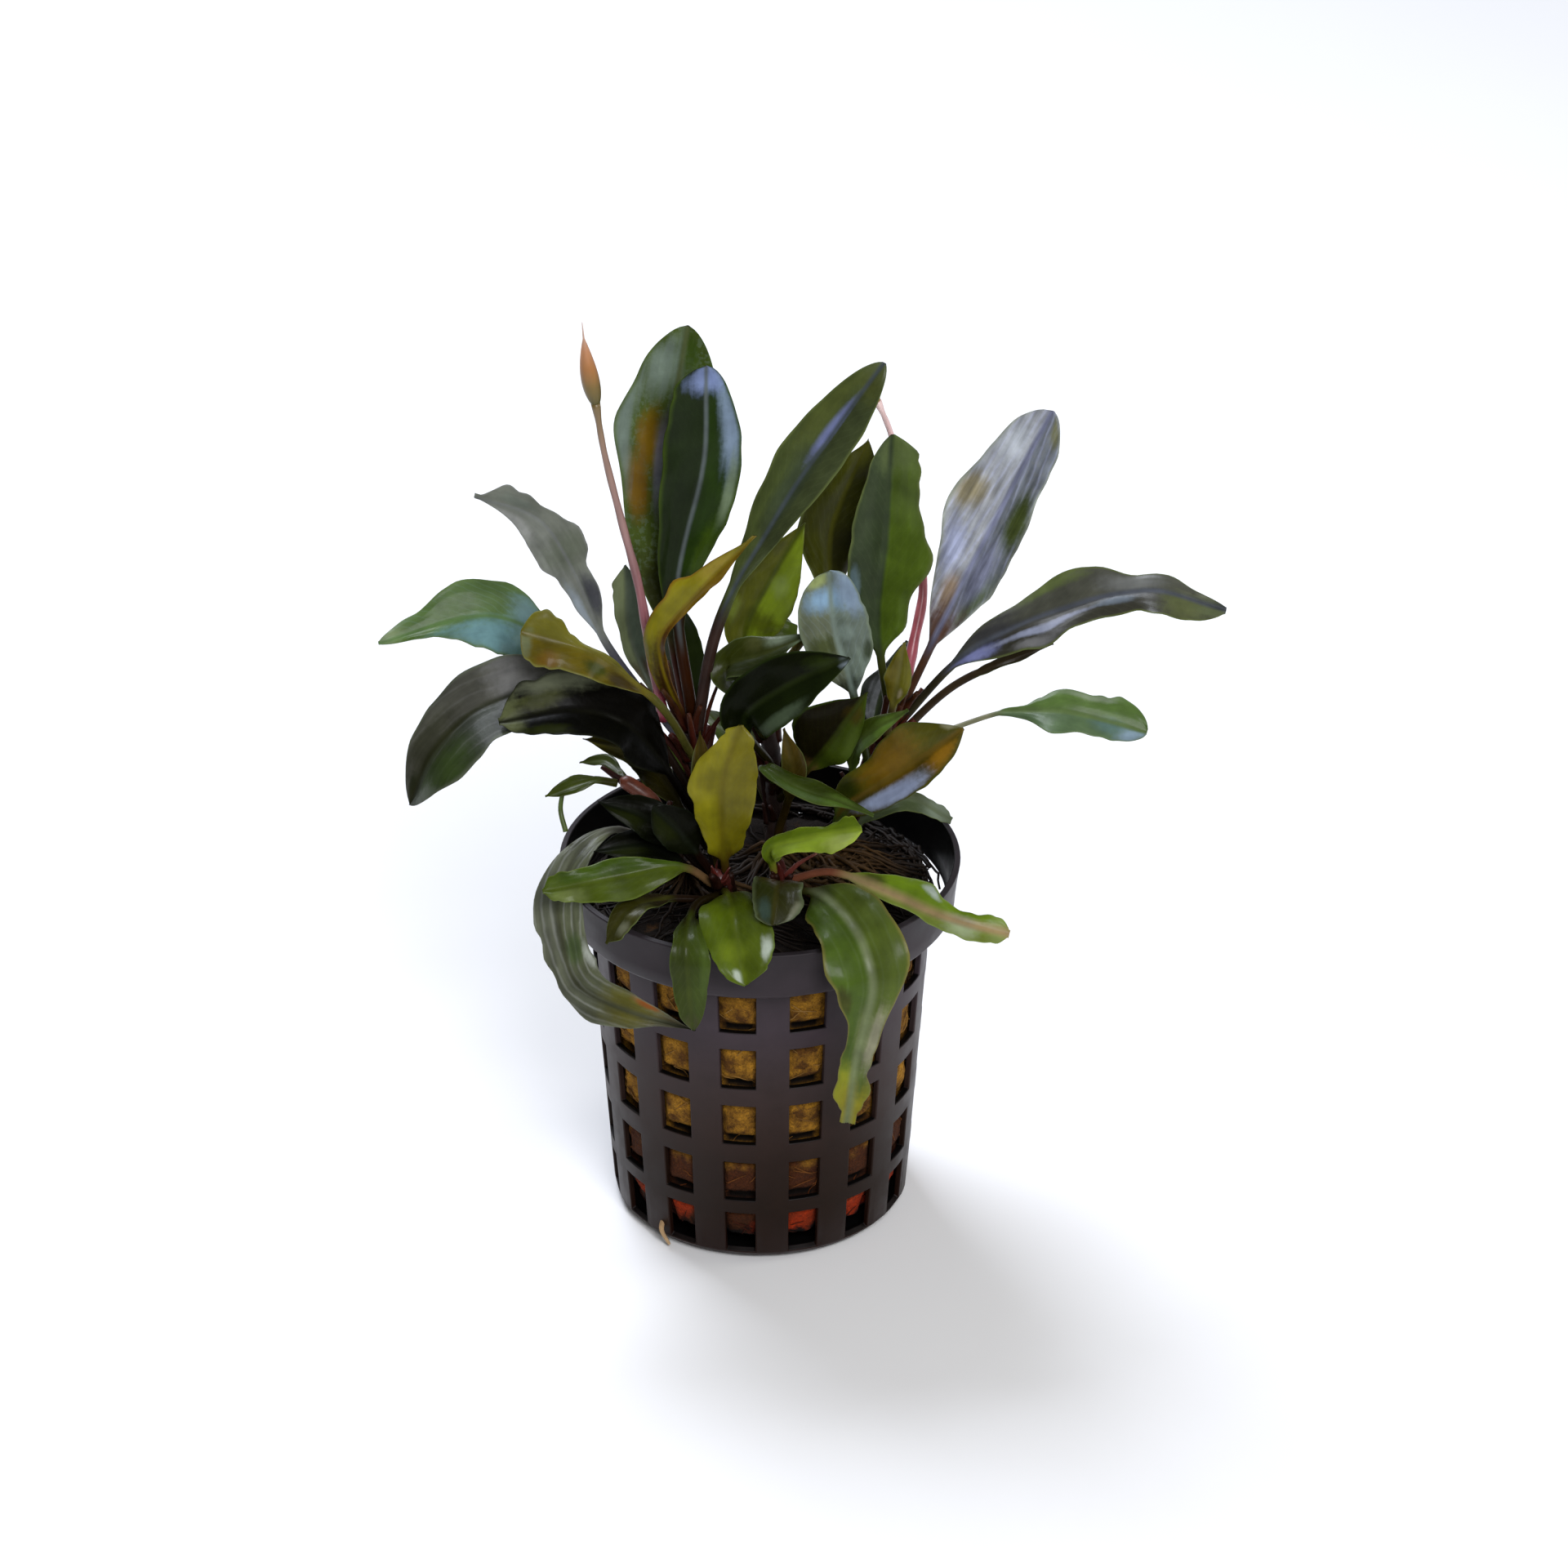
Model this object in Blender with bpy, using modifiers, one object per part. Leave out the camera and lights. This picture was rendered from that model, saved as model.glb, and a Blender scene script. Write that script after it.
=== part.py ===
"""Potted bucephalandra: a small water plant on a plug of mineral wool in a slotted net pot.

Lengths in the tables are millimetres and the scene is in metres. +Z is up, the front of the pot
faces -Y, and the pot stands on the floor at z = 0 with its axis on x = y = 0.
"""

import math
from dataclasses import dataclass

import bmesh
import bpy
from mathutils import Matrix, Vector

MM = 0.001
COLLECTION = "potted_bucephalandra"
GAP = 0.3

# Pot
POT_HEIGHT = 52.0
POT_WALL = 0.9
POT_COLUMNS = 15
FIRST_COLUMN = -7.5
RIM_RADIUS = 26.35
BAND_RADIUS = 25.6
BAND_BOTTOM = 45.7
LEDGE_HEIGHT = 45.0
LEDGE_RADII = (23.1, 25.2)
WALL_LOW = (3.0, 19.8)
WALL_HIGH = (44.0, 22.5)
HOLE_BOTTOMS = (1.8, 10.2, 19.5, 28.6, 37.6)
HOLE_HEIGHT = 6.2
RIB_WIDTH = 4.4
FLOOR_RIB_WIDTH = 2.0
FLOOR_SLOTS = (7.5, 14.0)
FLOOR_RADIUS = 17.8

# Wool
WOOL_PROFILE = ((0.0, 1.2), (14.0, 1.2), (17.8, 3.4), (19.1, 7.5), (21.5, 46.5), (0.0, 46.5))
WOOL_SIDES = 32

# Leaves
PETIOLE_RADIUS = 0.6
MIDRIB_THICKNESS = 0.8
TIP_THICKNESS = 0.45
TIP_HALF_WIDTH = 0.4
FRONT = (0.0, -0.9, 0.4)
UPWARD = (0.0, -0.5, 0.85)


@dataclass(frozen=True)
class Finish:
    """Colour and roughness of one material."""

    name: str
    colour: tuple
    roughness: float


@dataclass(frozen=True)
class Stem:
    """A round stem along a line of points, thinner at its end."""

    name: str
    points: tuple
    radius: float
    end_radius: float
    finish: Finish


@dataclass(frozen=True)
class Leaf:
    """A leaf that leaves its stem at a share of the height and passes through the points.

    face is the direction of the upper side at the root, and tip_face that at the tip.
    petiole is the stalk's share of the length and widest the place of the greatest width along
    the blade. base and tip say how the blade narrows at each end: under 1 blunt, over 1 drawn out.
    """

    name: str
    stem: str
    share: float
    points: tuple
    width: float
    finish: Finish
    face: tuple = FRONT
    tip_face: tuple = ()
    petiole: float = 0.2
    widest: float = 0.5
    base: float = 1.0
    tip: float = 1.0
    fold: float = 12.0
    stations: int = 6


PLASTIC = Finish("pot_plastic", (0.045, 0.04, 0.047), 0.45)
WOOL = Finish("mineral_wool", (0.3, 0.2, 0.07), 0.95)
RHIZOME = Finish("rhizome", (0.12, 0.035, 0.02), 0.6)
STALK = Finish("flower_stalk", (0.45, 0.08, 0.08), 0.5)
BUD = Finish("flower_bud", (0.6, 0.28, 0.15), 0.5)
DARK = Finish("leaf_dark", (0.03, 0.055, 0.02), 0.3)
GREY = Finish("leaf_grey_green", (0.09, 0.12, 0.08), 0.3)
GREEN = Finish("leaf_green", (0.08, 0.16, 0.02), 0.35)
OLIVE = Finish("leaf_olive", (0.16, 0.14, 0.02), 0.35)
YELLOW = Finish("leaf_young", (0.3, 0.3, 0.03), 0.4)

STEMS = (
    Stem("stem_left", ((-5, 1, 47), (-7, 1, 58), (-9.7, 2, 71.5)), 1.4, 1.1, RHIZOME),
    Stem("stem_right", ((8, 3, 47.4), (13, 3, 58.5), (19, 4, 72.5)), 1.4, 1.1, RHIZOME),
    Stem("stem_front_left", ((-4, -8, 47.3), (-5.4, -11, 55.5)), 1.4, 1.2, RHIZOME),
    Stem("stem_front_right", ((2.5, -7, 47.3), (2.9, -10, 54.8)), 1.4, 1.2, RHIZOME),
    Stem("stem_middle", ((2, 5, 46.9), (2, 6, 60), (0, 7, 73)), 1.4, 1.1, RHIZOME),
    Stem("stem_side", ((-10, -2, 47.1), (-14, -2.5, 61), (-18.5, -2, 64.5)), 1.1, 1.0, RHIZOME),
)

STALKS = (
    Stem(
        "flower_stalk_left",
        ((-12.6, 0.5, 72), (-14.2, 0, 82), (-15.6, -0.5, 92), (-17.6, -2, 102), (-19.7, -3, 112.5),
         (-20.7, -3, 119.5)),
        0.75, 0.35, STALK,
    ),
    Stem(
        "flower_stalk_right",
        ((19.2, 5.2, 74.3), (20.2, 7.5, 79), (21.6, 12, 86), (19.6, 15, 97.5), (17.1, 15, 107),
         (15.4, 15, 111.4)),
        0.85, 0.35, STALK,
    ),
)

BUD_PROFILE = ((0.0, 0.0), (0.7, 0.6), (1.25, 3.0), (1.15, 5.5), (0.6, 8.5), (0.0, 11.2))
BUD_SCALES = {"flower_stalk_left": 1.0, "flower_stalk_right": 0.33}

LEAVES = (
    # Tall leaves of the left stem
    Leaf("leaf_tall_back_left", "stem_left", 0.98,
         ((-12.6, 8, 90), (-12.2, 11.5, 105), (-9.2, 13.5, 122.8)),
         14.2, DARK, petiole=0.18, widest=0.62, base=1.0, tip=0.55, stations=8),
    Leaf("leaf_tall_left", "stem_left", 1.0, ((-10.8, 4, 89.5), (-7.2, 6, 107), (-6.8, 8, 119.6)),
         9.8, DARK, (0.2, -0.9, 0.3), petiole=0.2, widest=0.6, base=1.1, tip=0.45, stations=7),
    Leaf("leaf_tall_middle", "stem_left", 0.9, ((-5.3, 1, 86), (1.6, 2, 100), (8, 4, 109.7), (16, 6, 121)),
         8.8, DARK, (-0.4, -0.8, 0.3), petiole=0.3, widest=0.6, base=1.6, tip=0.7, stations=8),
    Leaf("leaf_young_left", "stem_left", 0.94, ((-13, -3, 85), (-8.4, -5, 93), (-0.5, -6, 102.2)),
         5.0, YELLOW, (-0.2, -0.9, 0.4), petiole=0.1, widest=0.5, base=0.8, tip=1.2),
    Leaf("leaf_hooked_upper_left", "stem_left", 0.82,
         ((-20.1, 5, 80.8), (-24.5, 6, 91.4), (-28.9, 7, 98.2), (-37, 5, 102.4)),
         7.0, GREY, (0.2, -0.9, 0.4), petiole=0.36, widest=0.45, base=1.7, tip=1.2, stations=7),
    Leaf("leaf_small_behind_left", "stem_left", 0.74, ((-16.8, 9, 78.5), (-17.7, 11, 89.5)),
         4.6, GREY, (0.3, -0.9, 0.3), petiole=0.35, tip=0.7, stations=5),
    Leaf("leaf_far_left", "stem_left", 0.66,
         ((-18.5, 3, 75), (-25.7, 3, 81), (-35.2, 1, 87.2), (-49.5, -3, 85.2)),
         10.0, GREEN, (0, -0.7, 0.75), petiole=0.38, widest=0.56, base=1.2, tip=0.75, stations=8),
    Leaf("leaf_olive_left", "stem_left", 0.78,
         ((-12.8, -8, 78.6), (-18.8, -11, 86), (-24, -12, 89.4), (-30.5, -12, 91.4)),
         6.2, OLIVE, (-0.2, -0.7, 0.7), petiole=0.45, widest=0.65, base=1.2, tip=0.6),
    Leaf("leaf_big_left", "stem_left", 0.5,
         ((-17, -3, 75.8), (-26.5, -6, 80.2), (-36, -9, 78.8), (-42, -11.5, 74.2), (-45.5, -13, 66.8)),
         12.4, DARK, (0, -0.5, 0.85), (-0.7, -0.6, 0.4), petiole=0.3, widest=0.6, base=0.9, tip=0.6,
         stations=8),
    Leaf("leaf_under_left", "stem_left", 0.36, ((-17, -9.5, 76.4), (-24.3, -12, 80), (-33.5, -13.5, 79)),
         8.6, DARK, (0, -0.6, 0.8), petiole=0.3, widest=0.4, tip=0.9),
    Leaf("leaf_yellow_left", "stem_left", 0.22, ((-16.3, 2, 66), (-23.4, 1, 68.8)),
         5.0, YELLOW, UPWARD, petiole=0.25, stations=5),
    # Leaves of the side stem
    Leaf("leaf_curled_left", "stem_side", 0.3,
         ((-18.8, -3, 57.4), (-24, -8, 56.2), (-26.3, -12, 52.4), (-25.7, -17, 48), (-23.5, -21.5, 44.3),
          (-17, -25.5, 43), (-8.3, -27.5, 41.2)),
         7.2, GREY, (-0.2, -0.4, 0.9), (-0.3, -0.95, 0.2), petiole=0.15, widest=0.5, base=0.8, stations=9),
    Leaf("leaf_tiny_left", "stem_side", 1.0, ((-22, -3, 64.8), (-28.3, -4, 63)),
         2.6, GREEN, UPWARD, stations=5),
    Leaf("leaf_tiny_left_upper", "stem_side", 0.9, ((-20.5, 3.5, 64.2), (-24, 5.5, 62.8)),
         2.0, GREEN, UPWARD, stations=4),
    # Leaves of the front left stem
    Leaf("leaf_front_upright", "stem_front_left", 0.98,
         ((-4.9, -14, 64), (-4.6, -15, 72), (-2.4, -15, 79.5)),
         9.2, YELLOW, (0, -0.95, 0.25), petiole=0.08, widest=0.55, base=0.9, tip=0.8, stations=7),
    Leaf("leaf_olive_upright", "stem_front_left", 0.85, ((-7.5, -8, 67), (-7.8, -9, 75.5)),
         3.2, OLIVE, (0.3, -0.9, 0.3), petiole=0.3, stations=5),
    Leaf("leaf_front_left", "stem_front_left", 0.74,
         ((-10.2, -13, 57.4), (-18.1, -15, 57.2), (-28.3, -16, 55.4)),
         6.2, GREEN, (0, -0.7, 0.7), petiole=0.2, widest=0.55, tip=0.9),
    Leaf("leaf_dark_front_left", "stem_front_left", 0.5, ((-14, -7, 57), (-21.8, -9, 57.4)),
         4.6, DARK, UPWARD, petiole=0.3, stations=5),
    Leaf("leaf_dark_left", "stem_front_left", 0.66, ((-14, -7.5, 61), (-21.2, -8, 64.3)),
         5.4, DARK, (-0.2, -0.6, 0.8), petiole=0.3, stations=5),
    Leaf("leaf_dark_round_left", "stem_front_left", 0.99, ((-9.8, -13, 61.8), (-13.8, -13.5, 66.6)),
         5.6, DARK, (-0.1, -0.8, 0.6), petiole=0.3, tip=0.6, stations=5),
    Leaf("leaf_over_rim_left", "stem_front_left", 0.4,
         ((-13, -14.5, 53.4), (-17.3, -19, 54), (-20, -20.8, 50.4)),
         4.2, OLIVE, (-0.4, -0.6, 0.7), petiole=0.35, stations=5),
    Leaf("leaf_hanging_left", "stem_front_left", 0.6,
         ((-8.4, -18, 54.4), (-9.3, -28, 54), (-8.6, -30, 42.8)),
         5.0, GREEN, (0, -0.4, 0.9), (0, -1, 0), petiole=0.35, widest=0.5, tip=0.7),
    Leaf("leaf_front_oval", "stem_front_left", 0.7, ((-3.9, -17, 54.8), (-3.2, -24, 55), (-1.7, -31, 50.2)),
         9.2, GREEN, (0, -0.6, 0.8), (0, -0.95, 0.3), petiole=0.15, widest=0.5, tip=0.7),
    # Leaves of the front right stem
    Leaf("leaf_front_round", "stem_front_right", 0.85, ((2.3, -19, 58), (1.8, -26.5, 56.4)),
         6.4, DARK, (0, -0.6, 0.8), petiole=0.12, widest=0.55, base=0.7, tip=0.5),
    Leaf("leaf_drooping_right", "stem_front_right", 0.6,
         ((8, -16, 55), (12.7, -25, 54.4), (14.6, -29, 49.8), (13.9, -28.5, 43.3), (12.6, -27.5, 36.5),
          (11.4, -25.5, 25.8)),
         12.0, GREEN, (0, -0.6, 0.8), (0.2, -0.98, 0.1), petiole=0.12, widest=0.38, base=0.9, tip=1.7,
         stations=9),
    Leaf("leaf_pink_rib_right", "stem_front_right", 0.85,
         ((9.6, -13, 56.8), (18.1, -17, 55.8), (24.4, -20, 54.6), (32.5, -21, 52.2)),
         4.8, GREEN, (0.1, -0.6, 0.8), petiole=0.25, widest=0.5, tip=0.7, stations=7),
    Leaf("leaf_bright_right", "stem_front_right", 0.98,
         ((1.6, -13, 60.5), (6, -15, 63.4), (13.3, -17, 65.7)),
         5.6, YELLOW, (0, -0.6, 0.8), petiole=0.2, widest=0.6, tip=0.8),
    # Leaves of the middle stem
    Leaf("leaf_olive_behind", "stem_middle", 1.0, ((8.4, 12, 83), (9.6, 14, 94), (14.3, 16, 105.4)),
         9.2, OLIVE, (0.3, -0.9, 0.2), petiole=0.35, widest=0.55, tip=0.8),
    Leaf("leaf_two_tone", "stem_middle", 0.92, ((-2, 6, 81.5), (1.1, 7, 88.7), (5.9, 8, 97.2)),
         9.0, YELLOW, FRONT, petiole=0.2, widest=0.45),
    Leaf("leaf_dark_middle", "stem_middle", 0.6, ((-2, -6, 75.6), (3.7, -9, 82.2), (11.6, -11, 87.2)),
         8.8, DARK, (0.1, -0.8, 0.6), petiole=0.3, widest=0.5, tip=0.8),
    Leaf("leaf_dark_inner", "stem_middle", 0.4, ((8.6, -3, 69.5), (14, -5, 79)),
         6.0, DARK, (0.2, -0.8, 0.6), petiole=0.35, stations=5),
    Leaf("leaf_small_brown", "stem_middle", 0.2, ((4.5, -1.5, 65.4), (3.2, -3, 72.4)),
         3.4, OLIVE, FRONT, petiole=0.35, stations=5),
    Leaf("leaf_light_right", "stem_middle", 0.5, ((0.5, -2, 66.4), (4.8, -6, 65.6), (14.9, -11.5, 64.4)),
         3.6, GREEN, (0, -0.3, 0.95), petiole=0.25, stations=5),
    Leaf("leaf_dark_behind", "stem_middle", 0.75, ((-4.3, 1, 79.5), (0.5, -1, 82.6), (6.4, -2, 85.8)),
         5.6, DARK, UPWARD, petiole=0.25, stations=5),
    # Leaves of the right stem
    Leaf("leaf_tall_right", "stem_right", 0.9, ((15.6, 7, 82.8), (16.6, 8.5, 95.5), (17.2, 10, 109)),
         10.0, GREEN, (0, -0.95, 0.2), petiole=0.2, widest=0.5, tip=0.8, fold=24, stations=7),
    Leaf("leaf_glossy_right", "stem_right", 0.97, ((24.6, 3, 86.6), (30.4, 3, 99.6), (37.6, 4, 115.1)),
         11.6, DARK, (-0.3, -0.85, 0.4), petiole=0.2, widest=0.55, base=1.1, tip=0.6, stations=8),
    Leaf("leaf_far_right", "stem_right", 0.9,
         ((26.6, -1, 82.2), (36, -3, 88.8), (49.4, -5, 93.9), (60, -8, 92.6)),
         8.2, DARK, (-0.1, -0.6, 0.8), petiole=0.22, widest=0.42, base=1.2, tip=0.8, stations=8),
    Leaf("leaf_under_right", "stem_right", 0.8, ((25.2, 2, 76), (33, 0, 81.4), (38.4, -1, 84)),
         3.6, DARK, (-0.1, -0.6, 0.8), petiole=0.55, stations=5),
    Leaf("leaf_small_right", "stem_right", 0.72,
         ((27.6, 5, 69.1), (33.4, 4, 71.4), (42, 3, 71.4), (51.2, 2, 69.3)),
         6.2, GREEN, UPWARD, petiole=0.42, widest=0.55, tip=0.55),
    Leaf("leaf_pale_middle", "stem_right", 0.64, ((12, -1, 78), (9.7, -2, 87), (9, -2, 95.2)),
         9.2, GREY, FRONT, petiole=0.4, widest=0.55, tip=0.45),
    Leaf("leaf_mottled_right", "stem_right", 0.2, ((11, -3, 60.5), (17.6, -7, 67.7), (26.5, -9, 75.8)),
         9.8, OLIVE, (-0.1, -0.8, 0.6), petiole=0.2, widest=0.55, tip=0.8),
    Leaf("leaf_strip_right", "stem_right", 0.45, ((12.8, -2.5, 70.2), (19.4, -4.5, 76.2)),
         3.6, GREEN, (-0.3, -0.6, 0.7), petiole=0.25, stations=5),
    Leaf("leaf_yellow_small", "stem_right", 0.82, ((17.9, -2, 78), (18.9, -2, 84.8)),
         3.6, YELLOW, (-0.2, -0.9, 0.3), petiole=0.4, stations=5),
    Leaf("leaf_rim_right", "stem_right", 0.1, ((14.1, 4, 55.4), (19.6, 6, 57), (26.4, 6, 54)),
         4.0, GREY, (0.2, -0.5, 0.85), petiole=0.25, stations=5),
    # Leaves behind
    Leaf("leaf_back_left", "stem_left", 0.45, ((-11, 14, 74), (-14, 22, 83)),
         8.0, DARK, (0, 0.8, 0.6), petiole=0.3, stations=5),
    Leaf("leaf_back_middle", "stem_middle", 0.8, ((2, 17, 79), (3, 24, 84)),
         8.0, GREEN, (0, 0.8, 0.6), petiole=0.3, stations=5),
    Leaf("leaf_back_right", "stem_right", 0.55, ((16, 15, 67), (20, 25, 71)),
         7.4, DARK, (0, 0.7, 0.7), petiole=0.3, stations=5),
    Leaf("leaf_back_low", "stem_middle", 0.3, ((-3, 16, 60), (-8, 26, 60)),
         6.6, GREEN, (0, 0.5, 0.85), petiole=0.25, stations=5),
)


def clear_scene():
    for obj in list(bpy.data.objects):
        bpy.data.objects.remove(obj, do_unlink=True)


def new_collection(name):
    collection = bpy.data.collections.new(name)
    bpy.context.scene.collection.children.link(collection)
    return collection


def material_of(finish):
    found = bpy.data.materials.get(finish.name)
    if found:
        return found
    material = bpy.data.materials.new(finish.name)
    material.use_nodes = True
    shader = material.node_tree.nodes["Principled BSDF"]
    shader.inputs["Base Color"].default_value = (*finish.colour, 1.0)
    shader.inputs["Roughness"].default_value = finish.roughness
    return material


def mesh_object(name, bm, finish, collection, sharp_above=40.0):
    bmesh.ops.recalc_face_normals(bm, faces=bm.faces)
    mesh = bpy.data.meshes.new(name)
    bm.to_mesh(mesh)
    bm.free()
    mesh.shade_smooth()
    mesh.set_sharp_from_angle(angle=math.radians(sharp_above))
    mesh.materials.append(material_of(finish))
    obj = bpy.data.objects.new(name, mesh)
    collection.objects.link(obj)
    return obj


def spun(profile, steps):
    """A profile of (radius, height) in millimetres turned once about +Z."""
    bm = bmesh.new()
    verts = [bm.verts.new((r * MM, 0.0, z * MM)) for r, z in profile]
    edges = [bm.edges.new(pair) for pair in zip(verts, verts[1:])]
    bmesh.ops.spin(
        bm,
        geom=verts + edges,
        cent=(0.0, 0.0, 0.0),
        axis=(0.0, 0.0, 1.0),
        angle=math.tau,
        steps=steps,
        use_merge=True,
    )
    bmesh.ops.remove_doubles(bm, verts=bm.verts, dist=0.01 * MM)
    return bm


def wall_radius(z):
    (low_z, low_radius), (high_z, high_radius) = WALL_LOW, WALL_HIGH
    return low_radius + (high_radius - low_radius) * (z - low_z) / (high_z - low_z)


def pot_profile():
    """The middle of the wall, from the middle of the floor to the rim."""
    half = POT_WALL / 2
    floor = [(0.0, half), (FLOOR_SLOTS[0], half), (FLOOR_SLOTS[1], half), (FLOOR_RADIUS, half)]
    corner = [(FLOOR_RADIUS + 1.2, half + 0.5)]
    wall = []
    for bottom in HOLE_BOTTOMS:
        wall.append((wall_radius(bottom), bottom))
        wall.append((wall_radius(bottom + HOLE_HEIGHT), bottom + HOLE_HEIGHT))
    ledge = [
        (wall_radius(LEDGE_HEIGHT), LEDGE_HEIGHT - 0.5),
        (LEDGE_RADII[0], LEDGE_HEIGHT),
        (LEDGE_RADII[1], LEDGE_HEIGHT + 0.2),
    ]
    band = [(BAND_RADIUS, BAND_BOTTOM), (RIM_RADIUS, POT_HEIGHT)]
    return floor + corner + wall + ledge + band


def pot_angle(point):
    """Degrees from the front, positive to the right."""
    return math.degrees(math.atan2(point.x, -point.y))


def from_column(angle, pitch):
    """Degrees from the nearest column of holes, and which column that is."""
    column = round((angle - FIRST_COLUMN) / pitch)
    return angle - FIRST_COLUMN - column * pitch, column


def even_ribs(bm, pitch):
    """Moves the vertical edges so that the ribs keep one width while the pot tapers."""
    for vert in bm.verts:
        radius = Vector(vert.co.xy).length / MM
        if radius < 1.0:
            continue
        rib = FLOOR_RIB_WIDTH if vert.co.z < 0.6 * MM and radius < FLOOR_RADIUS - 0.1 else RIB_WIDTH
        half_hole = max(3.0, pitch / 2 - math.degrees(rib / 2 / radius))
        off, _ = from_column(pot_angle(vert.co), pitch)
        turn = math.copysign(half_hole, off) - off
        vert.co = Matrix.Rotation(math.radians(turn), 3, "Z") @ vert.co


def is_opening(face, pitch):
    """True for a face of the wall that a hole takes away."""
    centre = face.calc_center_median()
    height = centre.z / MM
    radius = Vector(centre.xy).length / MM
    off, column = from_column(pot_angle(centre), pitch)
    in_column = abs(off) < pitch / 4
    if height < 0.6:
        return in_column and FLOOR_SLOTS[0] < radius < FLOOR_SLOTS[1]
    if abs(height - LEDGE_HEIGHT) < 0.3 and LEDGE_RADII[0] < radius < LEDGE_RADII[1]:
        return (in_column and column % 3 != 0) or (not in_column and column % 3 == (1 if off > 0 else 2))
    return in_column and any(z < height < z + HOLE_HEIGHT for z in HOLE_BOTTOMS)


def build_pot(collection):
    pitch = 360.0 / POT_COLUMNS
    bm = spun(pot_profile(), 2 * POT_COLUMNS)
    start = FIRST_COLUMN + pitch / 4
    bmesh.ops.rotate(bm, verts=bm.verts, matrix=Matrix.Rotation(math.radians(start - 90.0), 3, "Z"))
    even_ribs(bm, pitch)
    bm.normal_update()
    bmesh.ops.delete(bm, geom=[face for face in bm.faces if is_opening(face, pitch)], context="FACES")
    pot = mesh_object("pot", bm, PLASTIC, collection, 30.0)
    wall = pot.modifiers.new("wall", "SOLIDIFY")
    wall.thickness = POT_WALL * MM
    wall.offset = 0.0
    wall.use_even_offset = True


def build_wool(collection):
    mesh_object("mineral_wool", spun(WOOL_PROFILE, WOOL_SIDES), WOOL, collection)


def along(points, share):
    """The point at a share of the length of a line of points, and the direction there."""
    steps = [(b - a).length for a, b in zip(points, points[1:])]
    left = share * sum(steps)
    for a, b, step in zip(points, points[1:], steps):
        if left <= step or b is points[-1]:
            return a.lerp(b, min(left / step, 1.0)), (b - a).normalized()
        left -= step
    return points[-1], (points[-1] - points[-2]).normalized()


def smooth_line(points, per_step=8):
    """A finely divided curve through the points."""
    ends = [2 * points[0] - points[1], *points, 2 * points[-1] - points[-2]]
    line = []
    for before, a, b, after in zip(ends, ends[1:], ends[2:], ends[3:]):
        step = (b - a).length
        leave = (b - before) * step / ((b - a).length + (a - before).length)
        arrive = (after - a) * step / ((after - b).length + (b - a).length)
        for k in range(per_step):
            t = k / per_step
            line.append(
                a * (2 * t**3 - 3 * t**2 + 1)
                + leave * (t**3 - 2 * t**2 + t)
                + b * (3 * t**2 - 2 * t**3)
                + arrive * (t**3 - t**2)
            )
    return line + [points[-1]]


def build_tube(stem, collection, pieces):
    """A round stem as a bevelled curve."""
    line = smooth_line([Vector(point) for point in stem.points])
    curve = bpy.data.curves.new(stem.name, "CURVE")
    curve.dimensions = "3D"
    curve.bevel_depth = MM
    curve.bevel_resolution = 1
    curve.use_fill_caps = True
    spline = curve.splines.new("POLY")
    spline.points.add(pieces)
    for k, point in enumerate(spline.points):
        share = k / pieces
        place, _ = along(line, share)
        point.co = (*(place * MM), 1.0)
        point.radius = stem.radius + (stem.end_radius - stem.radius) * share
    spline.use_smooth = True
    curve.materials.append(material_of(stem.finish))
    obj = bpy.data.objects.new(stem.name, curve)
    collection.objects.link(obj)
    return obj


def build_bud(stalk, collection):
    """A closed flower bud in line with the end of its stalk."""
    scale = BUD_SCALES[stalk.name]
    before, end = Vector(stalk.points[-2]), Vector(stalk.points[-1])
    direction = (end - before).normalized()
    bm = spun([(r * max(scale, 0.6), z * scale) for r, z in BUD_PROFILE], 8)
    turn = Vector((0.0, 0.0, 1.0)).rotation_difference(direction).to_matrix().to_4x4()
    place = Matrix.Translation((end + direction * GAP) * MM)
    bmesh.ops.transform(bm, matrix=place @ turn, verts=bm.verts)
    mesh_object(stalk.name.replace("stalk", "bud"), bm, BUD, collection)


def leaf_root(leaf):
    """Where the leaf starts, just clear of its stem."""
    stem = next(stem for stem in STEMS if stem.name == leaf.stem)
    centre, direction = along([Vector(point) for point in stem.points], leaf.share)
    outward = Vector(leaf.points[0]) - centre
    radial = (outward - direction * outward.dot(direction)).normalized()
    lean = math.sqrt(max(0.0, 1.0 - outward.normalized().dot(radial) ** 2))
    radius = stem.radius + (stem.end_radius - stem.radius) * leaf.share
    return centre + radial * (radius + GAP + PETIOLE_RADIUS * lean)


def half_width(leaf, share):
    """Half the leaf's width at a share of its length."""
    if share >= 1.0:
        return TIP_HALF_WIDTH
    blade = (share - leaf.petiole) / (1.0 - leaf.petiole)
    if blade <= 0.0:
        return PETIOLE_RADIUS
    if blade < leaf.widest:
        part = math.sin(math.pi / 2 * blade / leaf.widest) ** leaf.base
    else:
        part = math.cos(math.pi / 2 * (blade - leaf.widest) / (1.0 - leaf.widest)) ** leaf.tip
    return max(PETIOLE_RADIUS, leaf.width / 2 * part)


def half_thickness(leaf, share):
    if share <= leaf.petiole:
        return PETIOLE_RADIUS * (1.0 - 0.3 * share / leaf.petiole)
    blade = (share - leaf.petiole) / (1.0 - leaf.petiole)
    return (MIDRIB_THICKNESS + (TIP_THICKNESS - MIDRIB_THICKNESS) * blade) / 2


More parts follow.
